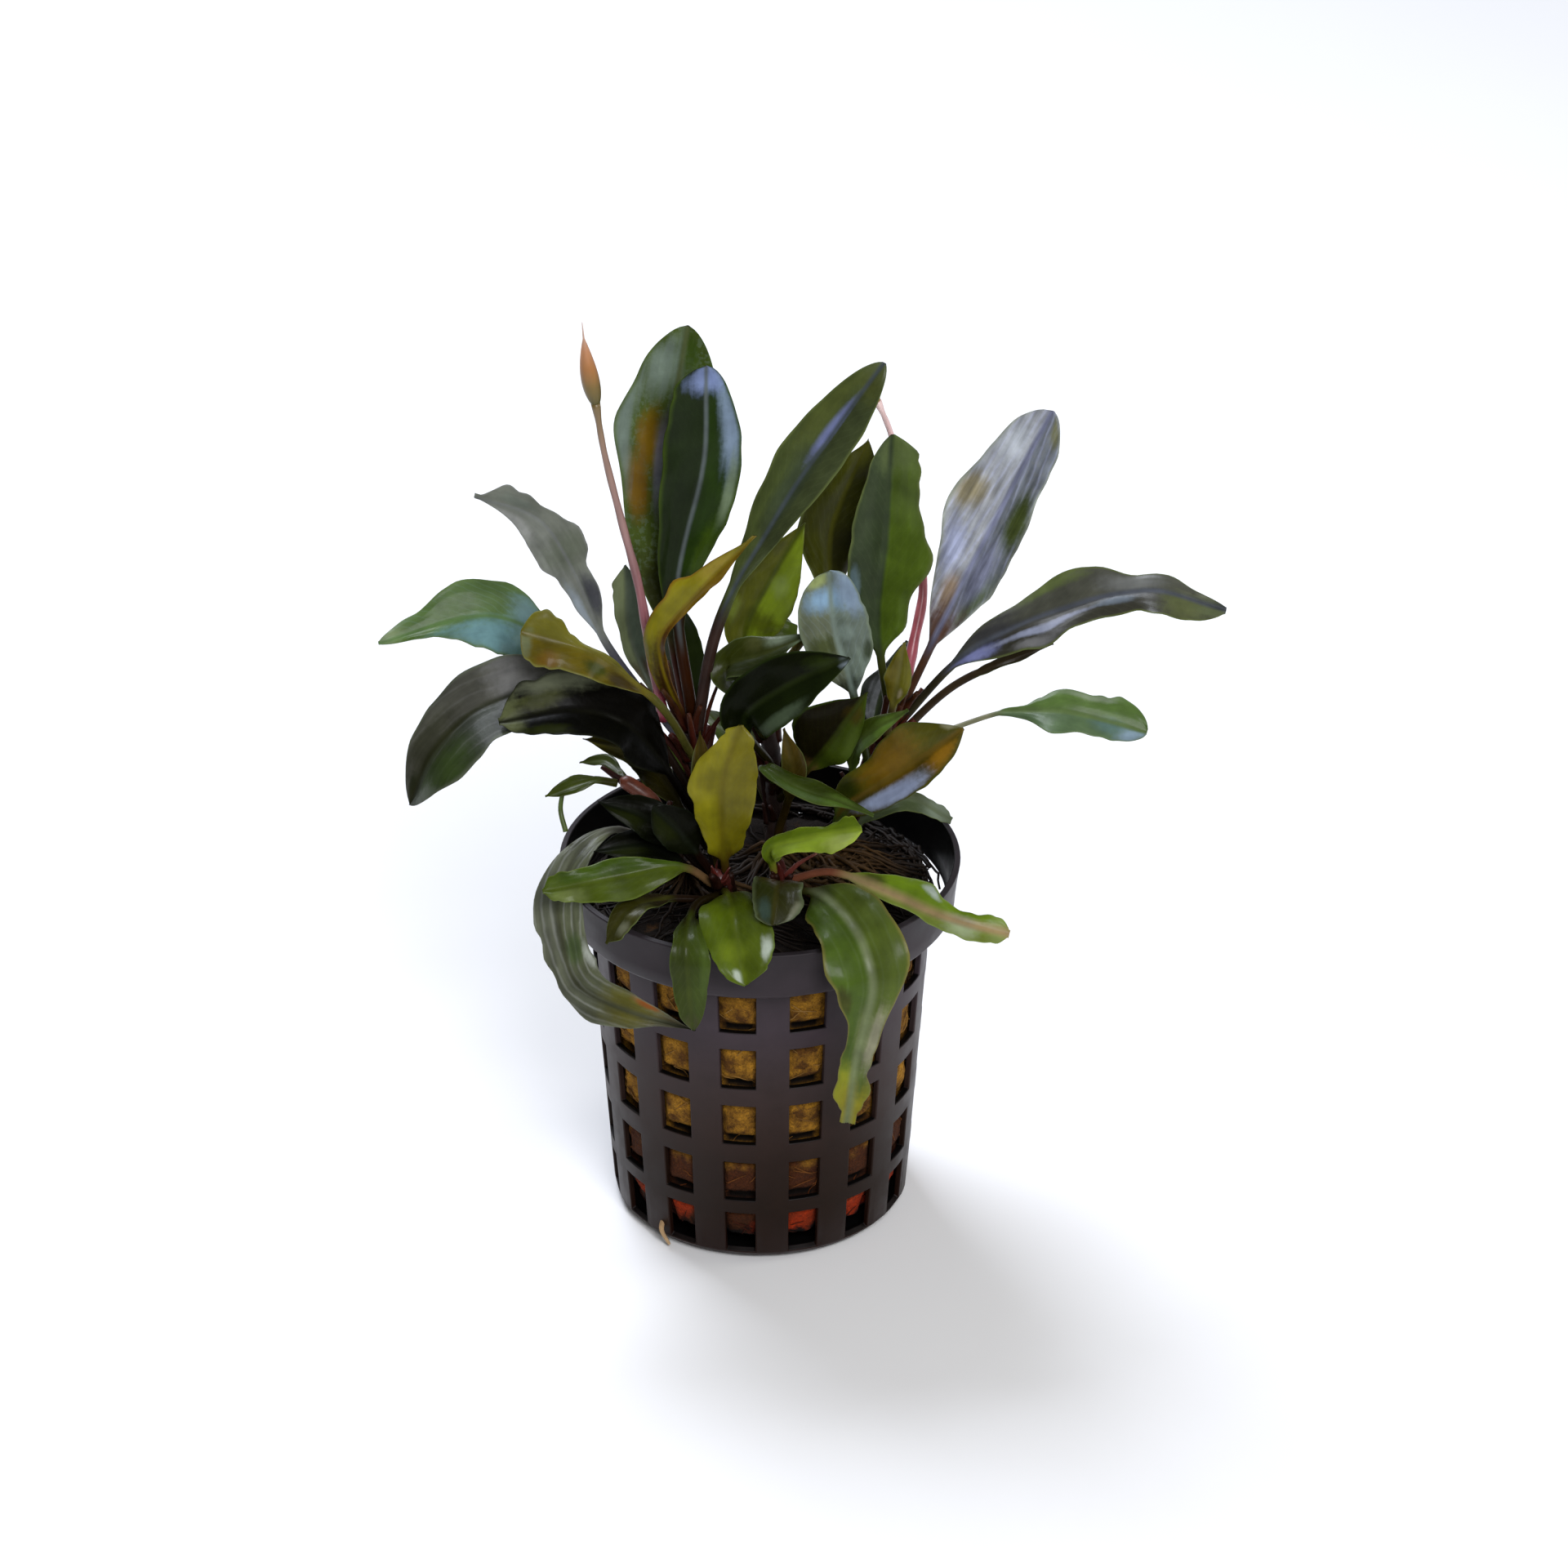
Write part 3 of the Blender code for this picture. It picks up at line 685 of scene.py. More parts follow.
@dataclass(frozen=True)
class Leaf:
    """A leaf with its stalk, lofted round a line from its stem through the points.

    share says where on the stem it stands. face and tip_face are the directions of the upper side at
    the root and at the tip. petiole is the stalk's share of the length, widest the place of the
    greatest width along the blade, and base and tip say how the blade narrows. fold is how steeply
    the halves rise from the midrib, in degrees. wave is the height of the margin's ripple, waves
    their number, pleat the height of the long ridges beside the midrib, nick the depth of the small
    nicks in the margin and warp the height of the slow bumps in the blade. minus and plus are how
    much wider or narrower each half is at places along the blade. The stalk is rooted inset deep in
    the stem, and flattens over neck, a share of the blade, to a midrib that is rib_depth deep at
    first.
    """

    name: str
    stem: str
    share: float
    points: tuple[Point, ...]
    width: float
    finish: str
    face: Point = FRONT
    tip_face: Point | None = None
    petiole: float = 0.2
    widest: float = 0.5
    base: float = 1.0
    tip: float = 1.0
    fold: float = 12.0
    wave: float = 0.35
    waves: float = 2.3
    pleat: float = 0.06
    pleats: float = 3.0
    arch: float = 0.05
    nick: float = 0.08
    warp: float = 0.4
    minus: Stops = ()
    plus: Stops = ()
    stalk_radius: float = 0.55
    inset: float = 0.3
    tip_half: float = 0.18
    blade_half: float = 0.17
    neck: float = 0.16
    rib_half: float = 0.55
    rib_depth: float = 0.36
    groove: float = 0.13
    groove_half: float = 0.4
    steps: int = 54
    rows: int = 20

    def root(self) -> Vector:
        """Finds where the leaf leaves its stem.

        Returns:
            The place, just inside the stem's skin.
        """
        stem = STEMS[self.stem]
        centre, direction = stem.centre(self.share)
        outward = Vector(self.points[0]) - centre
        radial = (outward - direction * outward.dot(direction)).normalized()
        return centre + radial * (stem.radius_at(self.share) - self.inset)

    def half_width(self, blade: float) -> float:
        """Gives half the leaf's width, in millimetres.

        Args:
            blade: Share of the blade, which is negative on the stalk.

        Returns:
            Half the width, before the edges' own changes.
        """
        if blade <= 0.0:
            return self.stalk_radius
        if blade < self.widest:
            part = math.sin(math.pi / 2 * blade / self.widest) ** self.base
        else:
            part = math.cos(math.pi / 2 * min(1.0, (blade - self.widest) / (1.0 - self.widest))) ** self.tip
        return max(self.tip_half if blade > 0.5 else self.stalk_radius, self.width / 2 * part)

    def ring(
        self, line: list[Vector], share: float, length: float, offset: float
    ) -> list[tuple[Vector, Point, Point]]:
        """Makes the points round the leaf at a share of its length.

        Args:
            line: The leaf's middle line.
            share: Share of its length.
            length: Its length.
            offset: A number of the leaf's own that sets its noise apart.

        Returns:
            Position, leaf place and leaf span of each point.
        """
        blade = (share - self.petiole) / (1.0 - self.petiole)
        ahead = max(0.0, blade)
        centre = along(line, share)[0]
        tangent = heading(line, share)
        face = Vector(self.face).lerp(Vector(self.tip_face or self.face), share)
        sideways = tangent.cross(face).normalized()
        upward = sideways.cross(tangent)
        # flat goes from 0, the round stalk, to 1, the blade
        flat = smoothstep(0.0, self.neck, blade)
        stalk = self.stalk_radius * (1.0 - 0.3 * min(1.0, share / self.petiole))
        rib = stalk * (1.0 - flat) + (self.rib_depth - 0.2 * ahead) * flat
        width = self.half_width(blade)
        points = []
        for k in range(2 * self.rows):
            v = -math.cos(math.pi * k / self.rows)
            top = k <= self.rows
            on_plus = v > 0
            # Small nicks and bays in the margin
            spot = Vector((blade * 5.0, offset, 5.0 if on_plus else 0.0))
            nick = self.nick * noise.noise(spot) + 0.035 * noise.noise(spot * 3.1)
            edge = follow(self.plus if on_plus else self.minus, blade)
            half = width * (1.0 + (edge - 1.0 + nick) * flat)
            x = v * half
            # Half the thickness: thin towards margin and tip, with the midrib bulging out below
            thick = self.blade_half * (1.0 - v**4) ** 0.5 * (1.0 - 0.4 * ahead)
            bulge = max(0.0, rib - self.blade_half) * math.exp(-((x / self.rib_half) ** 2))
            level = flat * (thick + bulge * (0.15 if top else 1.0))
            level += (1.0 - flat) * math.sqrt(max(0.0, 1.0 - v * v)) * stalk
            # The blade's lift: fold, arch, groove over the midrib, pleats, ripple and a slow warp
            lift = math.tan(math.radians(self.fold)) * (math.sqrt(x * x + 0.25) - 0.5)
            lift += self.arch * half * math.sin(math.pi * abs(v)) ** 1.2
            lift -= self.groove * math.exp(-((x / self.groove_half) ** 2)) if top else 0.0
            lift += self.pleat * math.cos(math.tau * self.pleats * abs(v)) * (1.0 - v * v)
            ripple = math.sin(math.tau * self.waves * blade + (1.9 if on_plus else 0.0))
            lift += self.wave * ripple * abs(v) ** 2.2 * smoothstep(0.0, 0.3, blade)
            lift += self.warp * noise.noise(Vector((x * 0.22, share * length * 0.16, offset)))
            if k in (0, self.rows):
                level = 0.0
            height = lift * flat + (level if top else -level)
            position = (centre + sideways * x + upward * height) * MM
            points.append((position, (v, blade, 1.0 if top else 0.0), (x, share * length, offset * 7.0)))
        return points

    def build(self) -> None:
        """Lofts the leaf and writes its own coordinates on it."""
        line = smooth_line([self.root(), *(Vector(point) for point in self.points)])
        length = length_of(line)
        # A number from the leaf's name, so that no two leaves are alike
        offset = sum(map(ord, self.name)) % 97 * 1.37
        stalk_steps = max(4, round(self.steps * self.petiole * 0.6))
        shares = [self.petiole * k / stalk_steps for k in range(stalk_steps)]
        # Rings stand closer towards the tip, where the outline turns most
        shares += [
            self.petiole + (1.0 - self.petiole) * (1.0 - (1.0 - k / self.steps) ** 1.25)
            for k in range(self.steps + 1)
        ]
        bm = bmesh.new()
        place = bm.verts.layers.float_vector.new(PLACE)
        span = bm.verts.layers.float_vector.new(SPAN)
        rings = []
        for share in shares:
            ring = []
            for position, where, measure in self.ring(line, share, length, offset):
                vert = bm.verts.new(position)
                vert[place] = where
                vert[span] = measure
                ring.append(vert)
            rings.append(ring[::-1])
        join_rings(bm, rings)
        finish = SKINS[self.finish]
        make_piece(self.name, bm, finish.build(), (self.name,))


# Living leaves, waxed by the plant itself: dark ones are old and thick, olive and yellow ones young
# or ageing. The wax gives a soft gloss, and the blunt side veins show as fine lines. The pale blue,
# grey and white patches, and the pale halves of a few leaves, are painted highlights and reflections.
# Each row gives the two halves, the midrib, the stalk and the underside first.
LEAF_SKINS = (
    # Its pale grey-green mottle and pale grey patches are painted highlights; the ochre patches are rust
    LeafSkin("old_leaf_rust_mottled", Slot.DARK, "#3d4c16", "#3a4a14", "#4a5230", "#34140a", "#3c4a1c",
             margin="#4a5a2c", mottle="#6c7c6c", mottle_strength=0.25,
             patches=(("#6c5008", -0.35, 0.64, 0.3, 0.12, 0.9), ("#6a4c08", -0.62, 0.5, 0.32, 0.12, 0.9),
                      ("#74837c", -0.9, 0.68, 0.26, 0.2, 0.7), ("#75847a", -0.45, 0.87, 0.6, 0.12, 0.7),
                      ("#6c6c7c", -0.12, 0.56, 0.16, 0.18, 0.7), ("#2f4408", 0.3, 0.92, 0.4, 0.08),
                      ("#24240a", -0.2, 0.16, 1.4, 0.17))),
    # Its grey midrib and blue-white patches are painted highlights
    LeafSkin("old_leaf_near_black", Slot.DARK, "#18230c", "#1c2e06", "#545c5c", "#2a1203", "#33421c",
             margin="#33440c", specular=0.08, margin_share=0.08, rib_mm=0.26, vein="#38442c",
             patches=(("#76889c", 0.72, 0.8, 0.34, 0.2, 0.9), ("#7b8bb4", 0.1, 0.97, 0.9, 0.07, 0.9),
                      ("#6c7c60", 0.8, 0.58, 0.2, 0.14), ("#33470a", 0.72, 0.34, 0.36, 0.2),
                      ("#241203", 0.1, 0.06, 1.8, 0.16, 0.95))),
    # The blue patch on its midrib is a painted highlight
    LeafSkin("old_leaf_slate", Slot.DARK, "#3c4620", "#363e22", "#3e464a", "#30201a", "#40462c", rib_mm=0.26,
             patches=(("#2f3a2c", -0.1, 0.5, 0.5, 0.2, 0.6), ("#6c74a0", -0.1, 0.74, 0.2, 0.14),
                      ("#4c5424", -0.6, 0.8, 0.4, 0.2, 0.7), ("#4a5020", 0.2, 0.95, 1.0, 0.1, 0.7),
                      ("#4c5430", 0.0, 1.0, 1.8, 0.07, 0.95))),
    LeafSkin("ageing_leaf_olive", Slot.OLIVE, "#333504", "#292a02", "#434310", "#3a3408", "#40400a",
             patches=(("#47490a", -0.2, 0.92, 1.2, 0.14), ("#1c1a02", 0.4, 0.36, 0.5, 0.2, 0.7))),
    # The blue-grey patch at its edge is a painted highlight
    LeafSkin("full_leaf_two_tone", Slot.GREEN, "#2e3a20", "#455814", "#2c3820", "#34380a", "#455418",
             patches=(("#58663a", 0.2, 0.95, 1.2, 0.14), ("#465620", 0.5, 0.74, 0.6, 0.14, 0.6),
                      ("#697f88", -0.8, 0.36, 0.2, 0.08, 0.6), ("#3c4630", -0.7, 0.66, 0.3, 0.2, 0.5))),
    # Its pale blue-grey halves and veins and its pale blue and grey patches are a painted reflection; the ochre
    # and green patches are its own
    LeafSkin("old_leaf_painted_blue_sheen", Slot.DARK, "#94989e", "#70767e", "#767a94", "#4a3020", "#485034",
             margin="#8a9080", vein="#b2b8d6", vein_strength=0.32, vein_mm=1.1, vein_run=(1.0, 0.12),
             vein_drift=0.7, streaks=0.4, mottle="#80785a", mottle_strength=0.1,
             patches=(("#8f8560", -0.7, 0.62, 0.4, 0.08, 0.85), ("#8a6a3a", -0.3, 0.24, 0.4, 0.1, 0.7),
                      ("#9aa2c2", -0.6, 0.4, 0.34, 0.12, 0.7), ("#3c480a", 0.66, 0.6, 0.4, 0.13, 0.95),
                      ("#4c5836", 0.72, 0.26, 0.3, 0.18, 0.85), ("#a8aeb4", -0.5, 0.84, 0.5, 0.1),
                      ("#66663c", 0.7, 0.94, 0.3, 0.06), ("#787c94", 0.4, 0.36, 0.4, 0.16),
                      ("#54392a", 0.0, 0.06, 1.8, 0.17, 0.95))),
    # Its pale lavender-blue, grey and pale grey patches are painted highlights
    LeafSkin("old_leaf_graphite", Slot.DARK, "#45463c", "#302f26", "#484c54", "#2c2818", "#3c4220",
             margin="#566030",
             patches=(("#5a6636", -0.85, 0.45, 0.3, 0.14, 0.85), ("#2c2c30", -0.3, 0.2, 0.8, 0.14),
                      ("#7c82b0", 0.5, 0.12, 0.5, 0.13, 0.85), ("#8a90a4", 0.42, 0.38, 0.16, 0.2, 0.85),
                      ("#6c6e6c", -0.4, 0.7, 0.5, 0.12, 0.7), ("#68727c", 0.3, 0.64, 0.24, 0.08),
                      ("#545a36", 0.3, 0.88, 1.0, 0.1, 0.85), ("#707070", 0.8, 0.36, 0.2, 0.1),
                      ("#868a74", -0.7, 0.94, 0.6, 0.05, 0.7), ("#565e40", 0.0, 1.0, 1.8, 0.1, 0.95))),
    LeafSkin("petiole_brown", Slot.DARK, "#2c2414", "#282010", "#342a18", "#33281a", "#2e2614"),
    # The pale blue-grey patches are painted highlights
    LeafSkin("full_leaf_sea_green", Slot.GREEN, "#49602c", "#4c6040", "#54663a", "#7c7c60", "#485e2a",
             margin="#5c6e48",
             patches=(("#7a8e9c", 0.6, 0.9, 0.6, 0.12, 0.9), ("#7c8870", -0.85, 0.62, 0.24, 0.2, 0.7),
                      ("#4c6462", 0.3, 0.76, 0.6, 0.14, 0.7))),
    # The pale blue patch and the pale patch at its edge are painted highlights; the ochre patches are rust
    LeafSkin("ageing_leaf_rust", Slot.OLIVE, "#444208", "#3f3807", "#5c4a14", "#55702c", "#46420c",
             margin="#3c4008",
             patches=(("#6c5008", -0.4, 0.54, 0.9, 0.24, 0.85), ("#805c10", 0.45, 0.83, 0.5, 0.12, 0.9),
                      ("#94a0bc", 0.62, 0.47, 0.42, 0.27, 0.95), ("#202c03", -0.45, 0.22, 0.7, 0.1),
                      ("#55702a", 0.2, 0.06, 1.4, 0.1), ("#8a886a", -0.9, 0.94, 0.4, 0.04, 0.7))),
    LeafSkin("small_leaf_moss", Slot.GREEN, "#2c3807", "#3c4e18", "#3e4c1c", "#34380f", "#34440f",
             patches=(("#52663a", 0.6, 0.5, 0.4, 0.2, 0.6), ("#55702a", 0.3, 0.8, 1.0, 0.18),
                      ("#6a8044", 0.0, 1.0, 1.6, 0.12))),
    LeafSkin("young_leaf_lime", Slot.YOUNG, "#54680c", "#809628", "#788c24", "#77702a", "#647618",
             margin="#8a9c38",
             patches=(("#98a650", 0.6, 0.85, 0.7, 0.16),)),
    LeafSkin("young_leaf_mustard", Slot.YOUNG, "#726c0c", "#655e0a", "#5a520a", "#42300a", "#5c560a",
             margin="#6a6412", rib_mm=0.4,
             patches=(("#77720e", -0.5, 0.42, 0.4, 0.16), ("#665f08", -0.3, 0.64, 0.5, 0.08, 0.5),
                      ("#706a24", 0.2, 0.95, 0.9, 0.08, 0.6), ("#4c3a08", 0.0, 0.04, 1.4, 0.1))),
    LeafSkin("full_leaf_fresh", Slot.GREEN, "#3f4c0a", "#364a06", "#465410", "#6c5234", "#44560f",
             margin="#5c6c28",
             patches=(("#66723c", -0.6, 0.84, 0.6, 0.14), ("#4c5c18", 0.3, 0.94, 0.9, 0.1, 0.7),
                      ("#5a6830", -0.8, 0.5, 0.2, 0.08, 0.6))),
    LeafSkin("old_leaf_black", Slot.DARK, "#0b0e03", "#070802", "#10140a", "#140804", "#0c1008",
             margin="#10160a", specular=0.05, coat=0.03, vein="#1c220e",
             patches=(("#1e2406", -0.4, 0.7, 0.6, 0.3, 0.6),)),
    # The pale tip and the grey-green patch are painted highlights
    LeafSkin("old_leaf_moss_black", Slot.DARK, "#0a0e02", "#101803", "#1c240a", "#221e06", "#1e280a",
             specular=0.06, coat=0.04, margin="#202c0a", vein="#202a0e",
             patches=(("#8a97a0", 0.2, 0.97, 0.9, 0.04, 0.7), ("#4c5a44", 0.75, 0.5, 0.24, 0.2, 0.7),
                      ("#263208", -0.3, 0.86, 0.5, 0.12, 0.6))),
    LeafSkin("shaded_leaf_green", Slot.DARK, "#120f03", "#323f0a", "#2c340a", "#2a240a", "#28340a",
             specular=0.06, coat=0.04, margin="#30400c", vein="#3a4618",
             patches=(("#5a4624", 0.0, 0.06, 1.6, 0.14), ("#3c300a", 0.3, 0.8, 0.7, 0.12, 0.7),
                      ("#3d4c14", 0.75, 0.6, 0.3, 0.2, 0.7))),
    # Its pale grey and grey-green patches are painted highlights
    LeafSkin("painted_gloss_leaf_dark", Slot.DARK, "#2c3208", "#262e0a", "#343a14", "#2c2a0c", "#2a340c",
             margin="#4a5630",
             patches=(("#727f6a", -0.5, 0.86, 0.7, 0.16, 0.85), ("#848c8e", 0.4, 0.24, 0.8, 0.1),
                      ("#5e7050", 0.3, 0.96, 1.2, 0.12), ("#434622", -0.6, 0.62, 0.5, 0.08, 0.7))),
    # The near-white patch at its inner edge is a painted highlight
    LeafSkin("ribbed_leaf_grey", Slot.GREY, "#525640", "#515444", "#3c3e2c", "#5c5a52", "#4c5238",
             margin="#5a5e4c", vein="#8a8c84", vein_strength=0.42, vein_mm=1.15, vein_run=(1.0, 0.05),
             vein_drift=0.6, streaks=0.3,
             patches=(("#54511c", -0.2, 0.8, 1.4, 0.12, 0.95), ("#453c1c", 0.0, 0.95, 1.6, 0.1, 0.95),
                      ("#7c3e10", -0.85, 0.84, 0.3, 0.06), ("#44552e", -0.4, 0.5, 0.5, 0.06),
                      ("#b4b8ac", -0.9, 0.56, 0.24, 0.08))),
    # The pale patch near its tip is a painted highlight
    LeafSkin("small_leaf_olive", Slot.OLIVE, "#2e2e07", "#2a2906", "#34340c", "#1e1208", "#2c2c0a",
             patches=(("#626450", -0.6, 0.78, 0.4, 0.1), ("#1a0f07", 0.0, 0.2, 1.6, 0.22, 0.85),
                      ("#4a4a24", -0.4, 0.62, 0.5, 0.08, 0.7))),
    LeafSkin("full_leaf_grass", Slot.GREEN, "#323f0c", "#2a3405", "#343e0c", "#1c1504", "#343f0c",
             margin="#3e4c16",
             patches=(("#150f02", 0.0, 0.1, 1.6, 0.14, 0.85), ("#42541c", -0.8, 0.58, 0.3, 0.2, 0.7),
                      ("#3d3c1e", 0.0, 0.96, 1.4, 0.08, 0.7))),
    # The two pale grey patches are painted highlights
    LeafSkin("full_leaf_spring", Slot.GREEN, "#44520a", "#4a5a09", "#4e5c0e", "#383608", "#445608",
             margin="#526416",
             patches=(("#a0aa9c", -0.8, 0.78, 0.22, 0.1, 0.9), ("#a4ae9e", 0.35, 0.93, 0.3, 0.06, 0.9),
                      ("#5f6e16", 0.2, 0.76, 0.6, 0.12, 0.7), ("#363a08", 0.2, 0.12, 1.2, 0.12, 0.7))),
    # The pale patch at its edge and the blue-green patch are painted highlights
    LeafSkin("round_leaf_pale_edge", Slot.DARK, "#2a2b0a", "#272c0a", "#34320e", "#3c240c", "#2c340c",
             margin="#4c5638", margin_share=0.12,
             patches=(("#36220a", 0.0, 0.28, 1.4, 0.26, 0.85), ("#747660", -0.85, 0.86, 0.3, 0.16, 0.9),
                      ("#33443c", 0.5, 0.86, 0.4, 0.16))),
    # The pale grey patch and the pale streak by the midrib are painted highlights
    LeafSkin("hanging_leaf_striped", Slot.GREEN, "#48561c", "#405416", "#6a7450", "#2c2c06", "#4a5a16",
             margin="#6c6630", rib_mm=0.5, vein="#62704c", vein_strength=0.12, vein_mm=2.1,
             vein_run=(1.0, 0.02), vein_drift=0.6,
             patches=(("#242c06", 0.2, 0.04, 1.4, 0.1), ("#8a8870", -0.7, 0.66, 0.5, 0.16, 0.85),
                      ("#6c744a", 0.1, 0.66, 0.5, 0.12, 0.7), ("#383a08", 0.85, 0.5, 0.3, 0.06, 0.85),
                      ("#7a7c1a", 0.6, 0.86, 0.8, 0.13, 0.9), ("#847c18", 0.0, 0.98, 1.8, 0.15, 0.95))),
    # The near-white patch at its edge is a painted highlight
    LeafSkin("slim_leaf_pink_rib", Slot.GREEN, "#5f7812", "#66742c", "#927c58", "#744430", "#5a6e18",
             margin="#78884a", rib_mm=0.6,
             patches=(("#8e9a78", 0.2, 0.74, 0.9, 0.12, 0.85), ("#a8b4a8", -0.75, 0.52, 0.2, 0.07, 0.9),
                      ("#34380c", -0.6, 0.2, 0.5, 0.08), ("#78864c", 0.0, 0.95, 1.4, 0.09))),
    LeafSkin("small_leaf_grey_green", Slot.GREY, "#4c5438", "#434e30", "#545e44", "#44441c", "#48503a",
             patches=(("#6c7766", 0.0, 0.84, 1.6, 0.2),)),
    # Its blue-grey patches and blue-green veins are a painted sheen
    LeafSkin("full_leaf_painted_sheen", Slot.GREEN, "#476028", "#4a6034", "#54703f", "#3c4c18", "#465a28",
             margin="#526638", vein="#84a0a0", vein_strength=0.08,
             patches=(("#648890", -0.6, 0.52, 0.7, 0.28), ("#6f8e96", 0.3, 0.36, 0.9, 0.12, 0.7),
                      ("#3f5a1c", 0.5, 0.7, 0.5, 0.12, 0.6), ("#7c8866", 0.0, 0.99, 1.4, 0.12))),
    # The pale grey patches at its edge and tip are painted highlights
    LeafSkin("ageing_leaf_amber", Slot.OLIVE, "#554a08", "#605c16", "#5c5414", "#4c4a1c", "#545010",
             margin="#6c6c34",
             patches=(("#2e2206", -0.5, 0.26, 0.6, 0.16, 0.85), ("#303a08", -0.5, 0.5, 0.4, 0.1, 0.85),
                      ("#7c7a4c", 0.85, 0.58, 0.3, 0.12, 0.6), ("#644808", -0.7, 0.8, 0.4, 0.08),
                      ("#626a4c", -0.4, 0.96, 0.7, 0.05))),
    # Its grey upper half and pale grey patches are a painted sheen; the veins are its own
    LeafSkin("old_leaf_painted_grey_sheen", Slot.DARK, "#30342a", "#42423a", "#20220f", "#1c120c", "#2e3820",
             specular=0.07, coat=0.04, margin="#4c5240", vein="#5c5c58", vein_strength=0.25,
             vein_run=(1.0, -0.1), vein_drift=0.7, rib_mm=0.4, streaks=0.16,
             patches=(("#747472", 0.4, 0.46, 0.9, 0.1, 0.7), ("#2c2d20", 0.3, 0.8, 0.8, 0.16, 0.85),
                      ("#26340f", -0.6, 0.82, 0.6, 0.18, 0.85), ("#161b04", 0.3, 0.94, 0.4, 0.06, 0.85),
                      ("#50564a", -0.8, 0.93, 0.4, 0.06, 0.7))),
    # The pale patches at its upper edge and tip are painted highlights
    LeafSkin("old_leaf_ink", Slot.DARK, "#030301", "#040301", "#0c0c06", "#060302", "#0a0a05",
             margin="#16180c", specular=0.05, coat=0.03, vein="#14160c",
             patches=(("#5c604c", 0.85, 0.74, 0.4, 0.2, 0.9), ("#3c4018", 0.35, 0.82, 0.3, 0.12, 0.7),
                      ("#565b3a", 0.0, 0.97, 1.4, 0.09, 0.9), ("#222806", -0.8, 0.8, 0.3, 0.12, 0.7))),
    LeafSkin("small_leaf_yellow", Slot.YOUNG, "#2a2604", "#241f04", "#2e2a08", "#1a1606", "#2c2806",
             patches=(("#4e4808", 0.0, 0.95, 1.6, 0.26, 0.85),)),
    # The pale blue-grey and pale grey patches are painted highlights
    LeafSkin("upper_leaf_ash", Slot.GREY, "#72766e", "#686c62", "#6c706c", "#42424a", "#585e4c",
             margin="#7e807a", rib_mm=0.2,
             patches=(("#3c3d44", 0.6, 0.26, 0.7, 0.14, 0.9), ("#869098", -0.7, 0.22, 0.4, 0.16, 0.85),
                      ("#565e4c", 0.2, 0.5, 1.2, 0.1, 0.6), ("#8e908c", -0.8, 0.78, 0.4, 0.14),
                      ("#646c62", 0.4, 0.8, 0.3, 0.1, 0.7))),
    LeafSkin("small_leaf_sage", Slot.GREY, "#707a58", "#4c584a", "#566050", "#3a2010", "#4c5a40",
             patches=(("#3a2412", 0.0, 0.14, 1.6, 0.16, 0.85), ("#75483c", 0.85, 0.6, 0.2, 0.24, 0.7))),
    LeafSkin("young_leaf_saffron", Slot.YOUNG, "#77700c", "#68520a", "#6e5e0c", "#2a0c04", "#5c460a",
             margin="#6c4c0c", margin_share=0.1, rib_mm=0.2,
             patches=(("#240a04", 0.1, 0.14, 1.8, 0.24, 0.95), ("#8a7832", -0.5, 0.8, 0.6, 0.1),
                      ("#4c2804", 0.6, 0.4, 0.8, 0.12, 0.85), ("#52542a", 0.0, 0.97, 1.4, 0.08))),
    LeafSkin("young_leaf_half_lime", Slot.YOUNG, "#4d5010", "#6a7c18", "#3c440a", "#3c4008", "#505c10",
             margin="#626c20",
             patches=(("#3c4208", 0.4, 0.34, 0.8, 0.1), ("#6f7d30", -0.8, 0.36, 0.3, 0.08, 0.7),
                      ("#728240", 0.4, 0.6, 0.3, 0.08, 0.7), ("#4a4c2a", -0.6, 0.8, 0.4, 0.08, 0.6))),
    # Its pale blue patches and blue-grey veins are a painted reflection, and its grey-green halves are partly
    # one too
    LeafSkin("young_leaf_painted_ice_sheen", Slot.GREY, "#5f6650", "#647064", "#6c7a70", "#2c3410", "#566044",
             margin="#6c7860", streaks=0.18, vein="#8a9ca4", vein_strength=0.12,
             patches=(("#7896ae", -0.2, 0.8, 0.8, 0.12, 0.95), ("#8296ac", 0.7, 0.86, 0.6, 0.2, 0.85),
                      ("#8a965c", -0.6, 0.95, 0.7, 0.07, 0.95), ("#363e10", -0.5, 0.46, 0.6, 0.12, 0.9),
                      ("#222c0a", 0.85, 0.36, 0.24, 0.1), ("#7c8c82", 0.3, 0.54, 0.3, 0.08, 0.7),
                      ("#1c200e", -0.2, 0.08, 1.4, 0.12, 0.85))),
    LeafSkin("small_leaf_brown_tip", Slot.OLIVE, "#39330a", "#362c08", "#40360f", "#34280a", "#38300a",
             patches=(("#55420c", 0.0, 0.95, 1.6, 0.3),)),
    LeafSkin("small_leaf_khaki", Slot.YOUNG, "#58500f", "#5f5c16", "#5c5826", "#4a4020", "#524c14",
             patches=(("#a09478", 0.4, 0.3, 0.3, 0.1, 0.7), ("#5e5c08", 0.0, 0.92, 1.4, 0.16, 0.7))),
    LeafSkin("shoot_green", Slot.GREEN, "#303a09", "#343e0b", "#3a440f", "#34340f", "#303c0a"),
)
SKINS = {skin.name: skin for skin in LEAF_SKINS}

